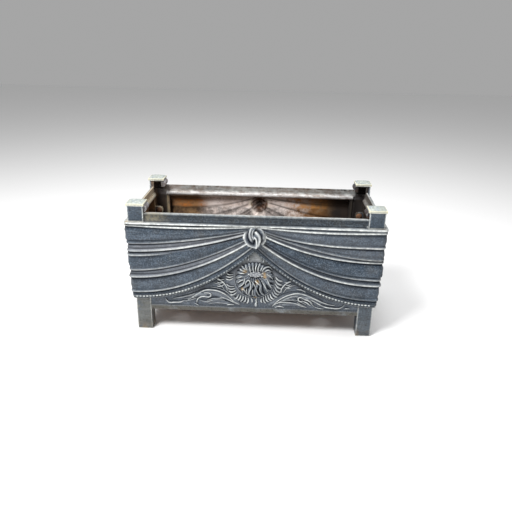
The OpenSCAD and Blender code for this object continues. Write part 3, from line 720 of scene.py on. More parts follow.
def edge_bends(mesh, co, normals):
    """How far the surface bends away at every point, more than 0 on a ridge."""
    count = len(co)
    pairs = np.empty(len(mesh.edges) * 2, np.int32)
    mesh.edges.foreach_get("vertices", pairs)
    a, b = pairs.reshape(-1, 2).T
    step = co[b] - co[a]
    step /= np.maximum(np.linalg.norm(step, axis=1), 1e-7)[:, None]
    total = np.bincount(a, -(normals[a] * step).sum(1), count)
    total += np.bincount(b, (normals[b] * step).sum(1), count)
    near = np.bincount(a, minlength=count) + np.bincount(b, minlength=count)
    bend = total / np.maximum(near, 1)
    for _ in range(2):
        around = np.bincount(a, bend[b], count) + np.bincount(b, bend[a], count)
        bend = (2 * bend + around) / (2 + near)
    return bend


def write_marks(mesh, **marks):
    """Stores shares from 0 to 1 on the points for the paint to read."""
    for name in mark_names:
        attribute = mesh.attributes.new(name, "FLOAT", "POINT")
        values = np.zeros(len(mesh.vertices), np.float32)
        if name in marks:
            values[:] = np.clip(marks[name], 0, 1)
        attribute.data.foreach_set("value", values)


def soft_mark(away, width):
    """A soft mark that is 1 where away is 0 and fades out over the width."""
    return np.exp(-(away / width) ** 2)


def mark_wear_and_light(piece, fold_places):
    """Marks wear, painted highlights, painted light and painted shade on a panel that still looks
    along -Y. fold_places gives, for every x, how far right it lies, how near the knot it lies,
    and the drops of the fold lines."""
    mesh = piece.data
    co, normals = vertex_data(mesh, "co") / mm, vertex_data(mesh, "normal")
    bend = edge_bends(mesh, co, normals)
    right, near, drops = fold_places(co[:, 0])
    drop = drape_top - co[:, 2]
    outside = np.clip((0.2 - normals[:, 1]) / 0.3, 0, 1)
    cloth = outside * (drop > -0.6)

    # The ledge's arris is white with wear and painted highlight, painted shade lies in the gap
    # below it, more so on the left, and the ledge's top is dark with dirt and painted shade
    ledge = np.clip((rim_inset - ledge_relief * gathered(near) + 4 - co[:, 1]) / 2, 0, 1)
    widest = np.abs(co[:, 0][cloth > 0]).max()
    ledge = np.maximum(ledge, np.abs(co[:, 0]) > widest - ledge_relief - 8)
    worn = soft_mark(drop - 1.2 - 0.5 * near, 1.6 - 0.5 * near) * ledge
    deep = (0.98 - 0.7 * right * (1 - near)) * soft_mark(drop - mix(3.5, drops[0], 0.4), 1.6)
    deep = np.maximum(deep, 0.8 * (np.abs(drop) < 0.6) * (1 - ledge))

    # Painted light makes the field pale where it runs up to a point under the knot, lifting the
    # shadow that the drapery casts there
    point = np.clip((co[:, 2] - 176) / 12, 0, 1) * (near > 0.8) * (drop > drops[-1] + 5)
    worn = np.maximum(worn, 0.26 * point)
    under_knot = np.clip(8 * (near - 0.74), 0, 1) * np.clip((co[:, 2] - 110) / 50, 0, 1)
    rubbed = (drop > drops[-1] + 7) * (0.25 + 0.75 * under_knot)

    # Every fold line has a white edge of wear and painted highlight, with painted light over it
    # and paler cloth under it, and painted shade in the gap under its lip and in another over its
    # roll
    for n, line in enumerate(fold_lines):
        share = line_share(n, right, near)
        white = mix(*[np.interp(near, (0, 0.42, 0.8), whites) for whites in line[10:12]], right)
        white *= share
        lip = np.minimum(1, mix(line[6], line[7], right) / 2.6) * share
        roll = mix(line[8], line[9], right)
        away = drop - drops[n]
        width = 1.4 + (0.9 * (roll / 2.8) - 0.1) * near
        worn = np.maximum(worn, white * soft_mark(away + 0.3 + 0.4 * (roll / 2.8), width))
        deep = np.maximum(deep, lip * soft_mark(away - 3.7 + 1.0 * near, 2.7 - 0.5 * near))
        deep = np.maximum(deep, 0.8 * np.minimum(1, roll / 1.6)
                          * soft_mark(away + 7.4 - 3.2 * near, 1.9))
        below = drops[n + 1] if n + 1 < len(drops) else drops[n] + 8
        pale = mix(*rubbed_folds[n], right) * (1 + 0.6 * near)
        rubbed = np.maximum(rubbed, np.maximum(
            0.5 * white * soft_mark(away + 2.4, 3.6 - 1.6 * near),
            0.8 * pale * (away > 0) * (drop < below)))
    # Painted shade along the hem's strip and in the crease over the bottom rail
    hem_strip = (drop > drops[-2] + 2) * (drop < drops[-1] + 5)
    deep = np.maximum(deep, (0.45 - 0.3 * near) * hem_strip)
    deep = np.maximum(deep, 0.4 * soft_mark(co[:, 2] - (field_bottom + 2), 2.0))

    # Inside, four of the folds show through as hollows with painted shade
    within = 1 - outside
    hollow = np.zeros(len(co))
    for n in (1, 3, 5, 6):
        hollow = np.maximum(hollow, soft_mark(drop - drops[n], 2.6))
    # Arrises off the cloth get wear and painted highlight, and hollows get painted shade
    off_cloth = 1 - cloth * (drop > 3) * (drop < drops[-1] + 1)
    worn = np.maximum(worn * cloth, 0.75 * off_cloth * np.clip((bend - 0.06) / 0.16, 0, 1))
    write_marks(mesh, worn=worn, rubbed=rubbed * cloth, inside=within,
                deep=np.maximum(np.clip((-bend - 0.03) / 0.13, 0, 1) * (1 - 0.7 * within),
                                np.where(within > 0.5, 0.9 * hollow, deep * cloth)))


def long_fold_places(x):
    """How the fold lines run at every x of a long panel."""
    near = 1 - np.minimum(1, np.abs(x) / panel_half)
    right = (x > 0).astype(float)
    drops = [np.where(x > 0, mix(line[1], line[2], near ** line[4]),
                      mix(line[0], line[2], near ** line[3])) for line in fold_lines]
    drops[0] = drops[0] + first_dip * np.sin(np.pi * near)
    return right, near, drops


spread = [math.copysign(panel_half * abs(i / half_columns) ** crowding, i)
          for i in range(-half_columns, half_columns + 1)]
front = draped_slab("front_panel_casting",
                    with_corners([(x, whole_column(station_points(x))) for x in spread]))

# Knot in the middle of each long panel: a ball of gathered cloth cast with the panel. A
# rolled edge goes round its left half and turns up the middle, with a hollow cup inside it
# and a full fold over the right half.
knot_r = 25
knot_out = 3
knot_tilt = 20
knot_flatten = 0.93
knot_strokes = [
    # (points on the disc, width, height, how white with wear and painted highlight, how much
    # painted shade)
    ([(0.1, 0.95), (-0.3, 0.93), (-0.62, 0.76), (-0.9, 0.36), (-0.96, -0.1), (-0.8, -0.54),
      (-0.46, -0.84), (-0.12, -0.95), (0.12, -0.86), (0.2, -0.58), (0.15, -0.26), (0.0, -0.08)],
     0.075, 2.6, 1.0, 0.0),
    ([(-0.66, 0.44), (-0.76, 0.04), (-0.6, -0.4), (-0.32, -0.68)], 0.13, -4.6, 0.0, 1.0),
    ([(0.02, -0.36), (-0.04, -0.58), (-0.16, -0.74)], 0.12, -5.0, 0.0, 1.0),
    ([(-0.28, 0.8), (-0.44, 0.4), (-0.42, 0.0), (-0.26, -0.3)], 0.1, 2.6, 0.6, 0.0),
    ([(-0.14, 0.56), (-0.22, 0.24), (-0.18, -0.04), (-0.08, -0.22)], 0.06, 2.4, 0.55, 0.0),
    ([(-0.24, 0.6), (-0.33, 0.26), (-0.3, -0.04), (-0.16, -0.34)], 0.055, -2.8, 0.0, 0.8),
    ([(0.16, 0.78), (0.07, 0.6), (-0.03, 0.4), (-0.1, 0.2)], 0.075, -4.0, 0.0, 1.0),
    ([(0.04, 0.42), (0.22, 0.22), (0.4, -0.02), (0.44, -0.34), (0.34, -0.66), (0.16, -0.86)],
     0.12, 3.4, 0.8, 0.0),
    ([(0.2, 0.64), (0.46, 0.42), (0.66, 0.12), (0.7, -0.24), (0.6, -0.6)], 0.075, -4.6, 0.0, 1.0),
    ([(0.3, 0.78), (0.6, 0.56), (0.8, 0.22), (0.82, -0.14)], 0.06, 2.0, 0.5, 0.0),
    ([(0.5, 0.78), (0.84, 0.5), (0.97, 0.1), (0.9, -0.34), (0.7, -0.66)], 0.075, 1.8, 1.0, 0.0),
    ([(0.26, -0.1), (0.31, -0.36), (0.24, -0.62)], 0.05, -2.4, 0.0, 0.7),
]


def distance_to(points, u, v):
    """Distance of places (u, v) from a bent line through the points."""
    line = smoothed(points, 4)
    best = np.full(u.shape, 9.0)
    for (x0, y0), (x1, y1) in zip(line[:-1], line[1:]):
        dx, dy = x1 - x0, y1 - y0
        t = np.clip(((u - x0) * dx + (v - y0) * dy) / (dx * dx + dy * dy + 1e-9), 0, 1)
        best = np.minimum(best, np.hypot(u - x0 - t * dx, v - y0 - t * dy))
    return best


def knot_rise(u, v, w):
    """Height of the knot's strokes over its ball in one direction from its middle."""
    rise = np.zeros(len(u))
    for points, width, height, _, _ in knot_strokes:
        rise += height * np.exp(-(distance_to(points, u, v) / width) ** 2)
    return rise * np.clip(w * 2.2, 0, 1)


knot = shape("knot", bpy.ops.mesh.primitive_uv_sphere_add, segments=128, ring_count=80,
             radius=knot_r * mm)
ball = vertex_data(knot.data, "co").astype(float)
u, v, w = (ball / (knot_r * mm)).T
ball *= (1 + knot_rise(u, v, w) / knot_r)[:, None]
ball[:, 2] *= np.where(w > 0, knot_flatten, 1)
knot_turn = np.array(Matrix.Rotation(math.radians(90 - knot_tilt), 3, "X"))
knot_centre = np.array((0, rim_inset - knot_out, knot_z))
knot.data.vertices.foreach_set("co", (ball @ knot_turn.T + knot_centre * mm).ravel())
carve(front, [knot], "UNION")
carve(front, panel_ends_and_rim(half_length))
carve(front, [fold_hollow("fold_hollow", half_length - leg_in - flange, hollow_columns,
                          station_points)])
# The knot is hollow at the back too, and nothing of it stands proud there
knot_hollow_r = 20
knot_hollow_in = 7
knot_hollow_flatten = 0.62
behind_low, behind_high = (-28, back_in, 220), (28, 40, 284.5)
long_bolt_heights = (126, 212)
carve(front, [shape("knot_hollow", bpy.ops.mesh.primitive_uv_sphere_add, segments=40,
                    ring_count=24, radius=knot_hollow_r * mm,
                    location=(0, knot_hollow_in * mm, knot_z * mm),
                    scale=(1, knot_hollow_flatten, 1)),
              block("behind_knot", behind_low, behind_high)])
carve(front, back_fittings(half_length, long_bolt_heights), "UNION")


def mark_knot(piece):
    """Whitens the rolled edges of the knot with wear and painted highlight, lightens its top with
    a painted highlight, and paints shade into its hollows.
    """
    mesh = piece.data
    local = (vertex_data(mesh, "co") / mm - knot_centre) @ knot_turn
    unflattened = local / np.where(local[:, 2:] > 0, (1, 1, knot_flatten), 1)
    reach = np.linalg.norm(unflattened, axis=1)
    u, v, w = (unflattened / np.maximum(reach, 1e-6)[:, None]).T
    on_knot = np.abs(reach - knot_r - knot_rise(u, v, w)) < 0.9
    # A painted highlight on the top of the knot, and a little painted shade over all of it
    white = 0.9 * np.clip((v - 0.74) / 0.12, 0, 1)
    dark = np.full(len(u), 0.2)
    for points, width, _, whiteness, stroke_shade in knot_strokes:
        off = distance_to(points, u, v) / width
        white = np.maximum(white, whiteness * soft_mark(off * 1.2, 1))
        dark = np.maximum(dark, stroke_shade * soft_mark(off, 1.15))
    for name, values in (("worn", white * (1 - 0.7 * dark)), ("deep", dark),
                         ("rubbed", 0.2 + 0.8 * white)):
        data = mesh.attributes[name].data
        old = np.empty(len(u), np.float32)
        data.foreach_get("value", old)
        data.foreach_set("value", np.where(on_knot, values, old).astype(np.float32))


# Flower, wreath and leaves. They are cast with the panel as low relief on its plain field:
# a domed head of curling petals round a knobbed heart, a wreath of short leaflets tied in
# bunches, an arched stem with a curled leaf on each side, and a row of beads on the hem.
flower_x, flower_z = 1, 142
flower_r = 45
heart_x, heart_z = 3, 157
heart_w, heart_h = 17, 10
sink = 1.4


def dome(x, z):
    """Height of the flower head's dome over the field."""
    out = np.clip(1 - ((x - flower_x) ** 2 + (z - flower_z) ** 2) / (flower_r + 2) ** 2, 0, 1)
    cup = np.exp(-(((x - heart_x) / heart_w) ** 2 + ((z - heart_z) / heart_h) ** 2))
    return 6.5 * out ** 0.5 - 2.4 * cup


# Flecks of old gilding on the flower: place and radius
gilt_spots = [(-22, 165, 7), (23, 160, 6), (25, 153, 6), (7, 139, 7), (-28, 119, 6), (3, 96, 5)]
stroke_sides = 6


def relief(name, strokes, ride=None, steps=4, depth=1.0, rubbed=0.3):
    """Raised strokes as one object. A stroke is (points, width, height, belly, whiteness): it
    follows a curve on the field and is widest where belly says, from 0 to 1 of its length.
    Its crest is white with wear and painted highlight, and painted shade, scaled by depth, lies
    on its flanks and at its foot."""
    points, faces, worn, deep = [], [], [], []
    ring = stroke_sides + 3
    for line, width, height, belly, whiteness in strokes:
        path = smoothed(line, steps)
        along = np.gradient(path, axis=0)
        along /= np.maximum(np.linalg.norm(along, axis=1), 1e-9)[:, None]
        base, last = len(points), len(path) - 1
        power = math.log(0.5) / math.log(belly)
        for k, ((x, z), (dx, dz)) in enumerate(zip(path, along)):
            full = 0.3 + 0.7 * math.sin(math.pi * (0.07 + 0.86 * (k / last) ** power))
            half = width / 2 * full
            top = height * full
            under = ride(x, z) if ride else 0.0
            for j in range(stroke_sides + 1):
                a = math.pi * j / stroke_sides
                off = half * math.cos(a)
                points.append((x - dz * off, field_inset - under - top * math.sin(a) ** 0.7,
                               z + dx * off))
                worn.append(whiteness * max(0.0, 1 - (abs(math.cos(a)) / 0.62) ** 2))
                deep.append(depth * max(0.0, (abs(math.cos(a)) - 0.72) / 0.28))
            points += [(x + dz * half, field_inset + sink, z - dx * half),
                       (x - dz * half, field_inset + sink, z + dx * half)]
            worn += [0.0, 0.0]
            deep += [1.0, 1.0]
        for k in range(last):
            for j in range(ring):
                a, b = base + k * ring + j, base + k * ring + (j + 1) % ring
                faces.append((a, b, b + ring, a + ring))
        faces += [[base + j for j in range(ring - 1, -1, -1)],
                  [base + last * ring + j for j in range(ring)]]
    made = solid(name, points, faces)
    spots = np.array(points)
    gold = np.zeros(len(spots))
    for x, z, r in gilt_spots:
        gold = np.maximum(gold, 1 - np.hypot(spots[:, 0] - x, spots[:, 2] - z) / r)
    write_marks(made.data, worn=worn, deep=deep, gilt=gold * 1.2, rubbed=rubbed)
    return made


def petal_ring(first, last, count, wave, bend, width, height, belly, white):
    """Petals from the heart to the flower's edge, between two angles in degrees. A petal can
    wave along its length and bend sideways at its tip."""
    made = []
    for k in range(count):
        angle = math.radians(mix(first, last, k / (count - 1)))
        c, s = math.cos(angle), math.sin(angle)
        x0, z0 = heart_x + heart_w * c, heart_z + heart_h * s
        bx, bz = x0 - flower_x, z0 - flower_z
        toward = bx * c + bz * s
        out = math.sqrt(toward ** 2 + flower_r ** 2 - bx * bx - bz * bz) - toward
        sway = wave * out / 40 * (1 if k % 2 else 0.7)
        line = []
        for t, w in ((0, 0), (0.22, 0.9), (0.45, 0.5), (0.68, -0.8), (0.86, -0.7), (1, 0.4)):
            aside = w * sway + bend * t * t
            line.append((x0 + c * out * t - s * aside, z0 + s * out * t + c * aside))
        made.append((line, width, height, belly, white))
    return made


petals = petal_ring(4, 176, 13, 0.0, -2.0, 8.6, 4.6, belly=0.7, white=0.12)
petals += petal_ring(190, 350, 11, 3.2, 3.0, 9.0, 4.8, belly=0.55, white=0.12)
# The turned-over edges that catch the light, from the heart outwards: the upper petals are
# short, the lower ones long and curling, and two of them show both edges as a loop
curled_edges = [
    # (points, width)
    ([(-27, 153), (-33, 151), (-41, 146)], 4.4), ([(-25, 144), (-33, 141), (-39, 134)], 4.4),
    ([(-22, 150), (-24, 138), (-29, 130), (-36, 124)], 4.0),
    ([(-20, 110), (-24, 119), (-30, 118)], 4.6),
    ([(-21, 127), (-18, 140), (-12, 144), (-8, 134), (-9, 120), (-12, 108), (-9, 100)], 3.8),
    ([(-17, 121), (-18, 111), (-13, 103)], 3.4),
    ([(-5, 140), (2, 130), (6, 119), (9, 110), (15, 101)], 4.2),
    ([(2, 142), (8, 138), (13, 131)], 5.6), ([(-3, 118), (-3, 108), (0, 100)], 3.4),
    ([(17, 132), (14, 121), (18, 111), (23, 105)], 3.8),
    ([(17, 143), (24, 133), (29, 122), (33, 112)], 4.0),
    ([(24, 146), (30, 148), (34, 139), (39, 128), (43, 122)], 4.2),
    ([(29, 160), (38, 155), (44, 146)], 4.0), ([(-22, 160), (-29, 161), (-37, 160)], 4.2),
    ([(-20, 167), (-27, 167), (-34, 170)], 4.0), ([(-18, 169), (-24, 173), (-30, 178)], 3.8),
    ([(-14, 168), (-19, 174), (-20, 181)], 3.8), ([(-9, 163), (-10, 172), (-13, 181)], 4.2),
    ([(0, 164), (-3, 173), (-3, 183)], 4.6), ([(4, 165), (3, 175), (6, 185)], 4.0),
    ([(9, 164), (9, 175), (13, 186)], 4.2),
    ([(21, 163), (20, 171), (26, 177), (35, 177), (42, 170)], 4.4),
    ([(24, 166), (32, 171), (40, 165)], 3.6), ([(15, 166), (16, 173), (20, 180)], 3.6),
]
petals += [(line, width, 7.6, 0.5, 0.95 if k % 3 else 0.75)
           for k, (line, width) in enumerate(curled_edges)]
# The heart is a low pad with twelve knobs
heart = [([(heart_x + x, heart_z) for x in (-15, 0, 15)], 17, 3.4, 0.5, 0.2)]
heart += [([(heart_x + x - 2.2, heart_z + z), (heart_x + x, heart_z + z + 1.2),
            (heart_x + x + 2.2, heart_z + z - 0.6)], 4.8, 5.4, 0.5, 0.8)
          for x, z in ((-16, 0), (-11, -4), (-10, 4), (-5, -1), (-4, 6), (0, -6), (2, 2),
                       (6, -4), (8, 5), (11, 0), (15, -4), (17, 3))]

# Leaflets of the wreath, tied in bunches: the bunch's first and last leaflet as start and
# tip, how many there are, and their width
wreath_bunches = [
    ((-50, 143), (-68, 142), (-50, 154), (-66, 157), 3, 4.6),
    ((-48, 122), (-66, 128), (-42, 106), (-58, 100), 4, 5.0),
    ((-37, 101), (-48, 88), (-14, 94), (-17, 78), 5, 5.4),
    ((-6, 92), (-5, 81), (18, 93), (20, 81), 3, 5.0),
    ((23, 97), (29, 80), (38, 106), (49, 91), 4, 6.0),
    ((43, 111), (56, 97), (49, 125), (63, 110), 3, 6.2),
    ((50, 133), (66, 120), (50, 151), (67, 140), 3, 6.6),
    ((-70, 128), (-88, 122), (-72, 140), (-88, 143), 3, 4.0),
    ((72, 126), (88, 124), (72, 138), (86, 142), 3, 4.0),
]
leaflets = []
for start_a, tip_a, start_b, tip_b, count, width in wreath_bunches:
    for k in range(count):
        t = k / (count - 1)
        (x0, z0), (x1, z1) = [(mix(a[0], b[0], t), mix(a[1], b[1], t))
                              for a, b in ((start_a, start_b), (tip_a, tip_b))]
        bow = 0.14 if x0 > 0 else -0.14
        middle = ((x0 + x1) / 2 + (z1 - z0) * bow, (z0 + z1) / 2 - (x1 - x0) * bow)
        whiteness = 0.8 if x0 < 40 else 0.6
        leaflets.append(([(x0, z0), middle, (x1, z1)], width, 5.0, 0.6, whiteness))
# The round stems that hold the leaflets: radius, first and last angle in degrees
for radius, first, last in ((47.5, 150, 391), (68, 196, 252), (68, 300, 350)):
    around = [math.radians(a) for a in np.linspace(first, last, 18)]
    leaflets.append(([(flower_x + radius * math.cos(a), flower_z + radius * math.sin(a))
                      for a in around], 2.6, 2.8, 0.5, 0.3))

right_leaf = [
    # (points, width, height over the field, whiteness)
    ([(45, 73), (53, 83), (63, 93), (81, 104), (102, 110), (122, 107), (143, 98), (164, 88),
      (182, 82), (194, 81)], 4.4, 5.6, 0.95),
    ([(130, 95), (145, 89), (158, 82), (172, 76), (186, 74), (198, 73), (209, 75), (217, 82)],
     4.2, 5.0, 0.9),
    ([(119, 95), (112, 100), (106, 98), (107, 92), (112, 89), (118, 90)], 4.0, 6.4, 1.0),
    ([(119, 94), (128, 93), (135, 89), (141, 82)], 5.0, 6.0, 1.0),
    ([(118, 89), (127, 86), (136, 78)], 4.4, 5.4, 0.9),
    ([(67, 89), (82, 97), (95, 102), (107, 100)], 6.0, 4.8, 0.5),
    ([(45, 73), (55, 81), (68, 85), (86, 85), (101, 82), (115, 76), (127, 73)], 3.6, 4.8, 0.8),
    ([(51, 69), (60, 74), (67, 73), (73, 70)], 4.0, 4.6, 0.9),
    ([(90, 93), (102, 91), (115, 86), (127, 79)], 4.0, 3.8, 0.35),
    ([(144, 76), (155, 72), (169, 70)], 3.6, 3.8, 0.5),
    ([(101, 120), (113, 119), (123, 113)], 4.5, 3.6, 0.5),
    ([(217, 72), (223, 74), (231, 73)], 3.6, 4.0, 0.7),
    ([(53, 79), (68, 89), (87, 92), (101, 88)], 3.2, 5.0, 0.5),
    ([(68, 78), (87, 83), (105, 82), (120, 76)], 3.0, 4.4, 0.45),
    ([(122, 100), (130, 94), (138, 84), (146, 75)], 3.2, 6.0, 0.6),
    ([(104, 86), (112, 81), (123, 74)], 3.0, 4.8, 0.5),
]
left_leaf = [
    ([(-33, 75), (-47, 81), (-58, 92), (-72, 103), (-87, 110), (-108, 112), (-121, 109),
      (-132, 102), (-147, 91), (-165, 77)], 4.4, 5.6, 0.95),
    ([(-36, 84), (-52, 95), (-66, 108), (-84, 116), (-104, 118)], 3.0, 3.6, 0.4),
    ([(-87, 89), (-73, 91), (-58, 86), (-47, 79), (-35, 74)], 4.0, 5.0, 0.8),
    ([(-138, 76), (-136, 85), (-130, 91), (-121, 94), (-112, 93), (-106, 94), (-103, 100),
      (-110, 103), (-121, 102)], 4.8, 6.4, 1.0),
    ([(-114, 82), (-102, 87), (-89, 89), (-73, 90)], 4.2, 4.6, 0.45),
    ([(-130, 81), (-114, 79), (-93, 79)], 4.0, 3.8, 0.3),
    ([(-65, 72), (-58, 74), (-48, 73)], 4.2, 4.4, 0.9),
    ([(-214, 84), (-210, 78), (-204, 74), (-191, 75), (-177, 76), (-168, 80)], 4.4, 5.0, 0.9),
    ([(-196, 84), (-183, 87), (-170, 90), (-154, 95), (-139, 100)], 5.0, 3.6, 0.4),
    ([(-144, 73), (-138, 71), (-133, 67)], 3.6, 3.8, 0.5),
    ([(-174, 79), (-155, 82), (-140, 87)], 3.0, 4.4, 0.45),
    ([(-170, 84), (-151, 88), (-136, 94)], 3.0, 4.4, 0.35),
    ([(-118, 77), (-103, 83), (-88, 86), (-70, 84)], 3.0, 5.0, 0.5),
    ([(-110, 73), (-92, 77), (-73, 77), (-58, 74)], 3.0, 4.4, 0.45),
    ([(-81, 96), (-66, 89), (-51, 80)], 3.0, 5.2, 0.5),
]
both_leaves = [
    # The broad, low body under the ribs, and the tufts beside the wreath, from the middle
    ([(36, 76), (58, 90), (84, 101), (112, 104), (138, 96), (164, 86)], 22, 2.6, 0.05),
    ([(112, 96), (124, 99), (136, 98), (142, 92)], 14, 4.4, 0.12),
    ([(48, 72), (72, 78), (98, 80), (122, 76)], 14, 2.2, 0.05),
    ([(64, 110), (66, 122), (75, 134), (88, 140)], 4.4, 4.8, 0.9),
    ([(70, 110), (76, 121), (86, 128), (98, 130)], 3.4, 3.8, 0.6),
]
leaves = [([(side * x, z) for x, z in line], width, height, 0.5, whiteness)
          for side in (-1, 1) for line, width, height, whiteness in both_leaves]
leaves += [(line, width, height, 0.5, whiteness)
           for line, width, height, whiteness in right_leaf + left_leaf]
# A small leaf under the wreath and two over the flower
leaves += [([(5, 70), (5, 76), (5, 81)], 10, 4.0, 0.4, 0.6),
           ([(-15, 190), (-13, 200)], 6, 4.0, 0.5, 0.5),
           ([(19, 185), (22, 195)], 6, 4.0, 0.5, 0.5)]

# The beads lie along the hem and turn with it. Their fronts and tops get a painted highlight,
# faint in the middle of the panel and full from a certain distance on, and their backs get
# painted shade
bead_r = 2.6
bead_pitch = 7.7
bead_out = 8.8
bead_scale = (1.3, 0.9, 0.8)
highlit_from = 200
first_bead = shape("first_bead", bpy.ops.mesh.primitive_uv_sphere_add, segments=12,
                   ring_count=8, radius=bead_r * mm)
beads = []
walked = 0.0
last = None
for x in np.arange(-panel_half + 1, panel_half, 0.5):
    z = drape_top - float(long_fold_places(np.array([x]))[2][-1][0])
    walked += math.hypot(x - last[0], z - last[1]) if last else bead_pitch
    slope = math.atan2(z - last[1], x - last[0]) if last else 0.0
    last = (x, z)
    if walked >= bead_pitch:
        walked = 0.0
        bead = add_object("bead", first_bead.data.copy())
        y = rim_inset - bead_out * gathered(1 - abs(x) / panel_half)
        bead.location = (x * mm, y * mm, z * mm)
        bead.scale = bead_scale
        bead.rotation_euler = (0, -slope, 0)
        beads.append(bead)
bpy.data.objects.remove(first_bead)
pick_up(*beads)
bpy.ops.object.transform_apply(location=True, rotation=True, scale=True)
weld(beads[0], beads[1:])
hem_beads = beads[0]
crest = vertex_data(hem_beads.data, "normal")
from_middle = np.abs(vertex_data(hem_beads.data, "co")[:, 0]) / (highlit_from * mm)
bead_highlight = 0.1 + 0.85 * np.clip(from_middle, 0, 1)
write_marks(hem_beads.data, deep=np.clip(0.3 + crest[:, 1], 0, 1),
            worn=bead_highlight * np.clip(-crest[:, 1] + 0.4 * crest[:, 2] - 0.25, 0, 1))

mark_wear_and_light(front, long_fold_places)
mark_knot(front)
weld(front, [relief("petals", petals, ride=dome),
             relief("heart", heart, ride=dome, depth=0.0, rubbed=1.0),
             relief("wreath", leaflets), relief("leaves", leaves, steps=5), hem_beads])

panel_smooth_bend = 50


def stand(piece, setback, turn):
    """Sets a panel, made in its own frame, in its place on the trough."""
    pick_up(piece)
    piece.matrix_world = (Matrix.Rotation(math.radians(turn), 4, "Z")
                          @ Matrix.Translation((0, -setback * mm, 0)))
    bpy.ops.object.transform_apply(location=True, rotation=True, scale=True)


def smooth_twin(piece, other_name):
    """Smooths a panel and makes its twin for the other side."""
    pick_up(piece)
    bpy.ops.object.shade_smooth_by_angle(angle=math.radians(panel_smooth_bend))
    return add_object(other_name, piece.data.copy())


panel_paint = painted_iron("painted_panel_iron", marked=True)
back = smooth_twin(front, "back_panel_casting")
stand(front, half_depth, 0)
stand(back, half_depth, 180)
dress(front, panel_paint, "front_panel")
dress(back, panel_paint, "back_panel")

# Short panels, left and right. Each is one iron casting, bolted to the posts like the long
# ones: the same folds run across it with a slight sag, so the drapery meets all round.
end_half = half_depth - corner_in
end_columns = 44
end_hollow_columns = 21
end_bolt_heights = (100, 238)
end_sag = 5
full_sag_drop = 60


def end_points(t):
    """The drapery's section on a short panel; t runs from its left to its right corner."""
    rows = []
    for (da, ra), (db, rb) in zip(fold_points(1, 0.0), fold_points(0, 0.0)):
        sag = end_sag * math.sin(math.pi * t) * min(1.0, da / full_sag_drop)
        rows.append((mix(da, db, ease(t)) + sag, mix(ra, rb, t)))
    return rows


def end_fold_places(x):
    """How the fold lines run at every x of a short panel, whose left corner is the long
    panels' right one."""
    t = np.clip((x + end_half) / (2 * end_half), 0, 1)
    drops = [mix(line[1], line[0], ease(t))
             + end_sag * np.sin(np.pi * t) * min(1, line[1] / full_sag_drop)
             for line in fold_lines]
    return 1 - t, np.zeros(len(x)), drops


left_end = draped_slab("left_end_panel_casting", with_corners(
    [(mix(-end_half, end_half, k / end_columns), whole_column(end_points(k / end_columns)))
     for k in range(end_columns + 1)]))
carve(left_end, panel_ends_and_rim(half_depth))
carve(left_end, [fold_hollow("end_hollow", half_depth - leg_in - flange, end_hollow_columns,
                             lambda x: end_points((x + end_half) / (2 * end_half)))])
carve(left_end, back_fittings(half_depth, end_bolt_heights), "UNION")
mark_wear_and_light(left_end, end_fold_places)
right_end = smooth_twin(left_end, "right_end_panel_casting")
stand(left_end, half_length, -90)
stand(right_end, half_length, 90)
dress(left_end, panel_paint, "left_end_panel")
dress(right_end, panel_paint, "right_end_panel")

# Base plate, bolts and nuts. The plate is a bare iron casting that lies on the panels'
# ledges, with drain holes; the square nuts and cup-head bolts are steel. All of it has
# rusted brown under the earth that the trough has held.


def rusted(name, pale, dark, scale):
    """Bare metal that has rusted in blooms."""
    material = bpy.data.materials.new(name)
    material.use_nodes = True
    tree = material.node_tree
    shader = tree.nodes["Principled BSDF"]
    place = shader_node(tree, "TexCoord").outputs["Object"]
    bloom = patches(tree, place, scale, 0.4, 0.62, detail=8, rough=0.7)
    pit = patches(tree, place, scale * 4, 0.5, 0.66, detail=6, shift=2.9)
    bump = shader_node(tree, "Bump", {"Strength": 0.6, "Distance": 0.8 * mm,
                                      "Height": noise(tree, place, scale * 9, 5)})
    colour = coats(tree, dark, (pale, bloom), (rust_black, pit, 0.6))
    feed(tree, shader.inputs["Base Color"], colour)
    feed(tree, shader.inputs["Roughness"], 0.88)
    feed(tree, shader.inputs["Normal"], bump.outputs["Normal"])
    return material


plate_rust = rusted("rusted_plate_iron", linear(132, 88, 54), linear(66, 46, 34), 26)
bolt_rust = rusted("rusted_bolt_steel", linear(120, 84, 56), rust_brown, 90)
for node in ("base_plate", "corner_bolts", "corner_nuts", "base_bolts", "base_nuts"):
    nodes[node].data.materials.clear()
    nodes[node].data.materials.append(plate_rust if node == "base_plate" else bolt_rust)

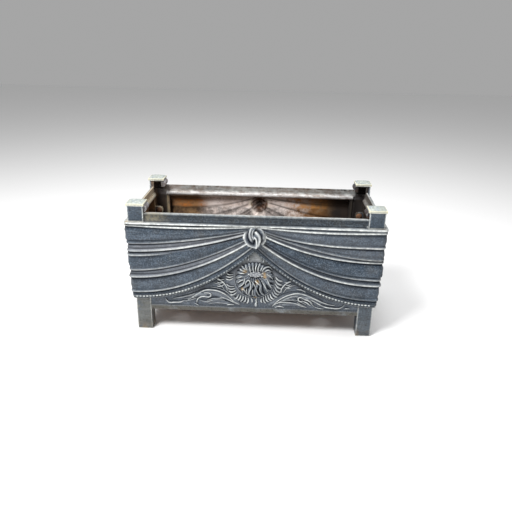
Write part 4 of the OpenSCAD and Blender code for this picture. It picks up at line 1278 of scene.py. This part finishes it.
# Stage. A pale floor that runs out to white, a soft sky and two soft lamps, and the camera
# where the photograph was taken from.
floor = shape("floor", bpy.ops.mesh.primitive_plane_add, size=12, location=(0, 0, -0.5 * mm))
floor_paint = bpy.data.materials.new("pale_floor")
floor_paint.use_nodes = True
floor_shader = floor_paint.node_tree.nodes["Principled BSDF"]
floor_shader.inputs["Base Color"].default_value = (0.92, 0.92, 0.92, 1)
floor_shader.inputs["Roughness"].default_value = 0.9
floor.data.materials.append(floor_paint)

world = bpy.data.worlds.new("sky")
bpy.context.scene.world = world
world.use_nodes = True
world.node_tree.nodes["Background"].inputs["Color"].default_value = (1, 1, 1, 1)
world.node_tree.nodes["Background"].inputs["Strength"].default_value = 0.38

lamps = [
    # (name, place, size, power)
    ("window_lamp", (-0.8, -1.0, 1.8), 0.7, 50),
    ("top_lamp", (0.3, 0.2, 2.2), 1.2, 30),
]
for name, place, size, power in lamps:
    light = bpy.data.lights.new(name, "AREA")
    light.size = size
    light.energy = power
    lamp = add_object(name, light)
    lamp.location = place
    lamp.rotation_mode = "QUATERNION"
    lamp.rotation_quaternion = (Vector((0, 0, 0.15)) - Vector(place)).to_track_quat("-Z", "Y")

azimuth, elevation, roll = (math.radians(v) for v in (2.07, 22.89, 1.10))
camera_place = Vector((43.6, -1244.9, 676.3)) * mm
picture = 512
focal_pixels = 524.8
away = Vector((math.sin(azimuth) * math.cos(elevation), -math.cos(azimuth) * math.cos(elevation),
               math.sin(elevation)))
right = (-away).cross(Vector((0, 0, 1))).normalized()
up = right.cross(-away)
rolled_right = math.cos(roll) * right + math.sin(roll) * up
rolled_up = -math.sin(roll) * right + math.cos(roll) * up
lens = bpy.data.cameras.new("camera")
lens.sensor_width = 36
lens.lens = 36 * focal_pixels / picture
lens.clip_start = 0.01
camera = add_object("camera", lens)
camera.matrix_world = Matrix([(rolled_right[k], rolled_up[k], away[k], camera_place[k])
                              for k in range(3)] + [(0, 0, 0, 1)])
bpy.context.scene.camera = camera
bpy.context.scene.view_settings.view_transform = "Standard"
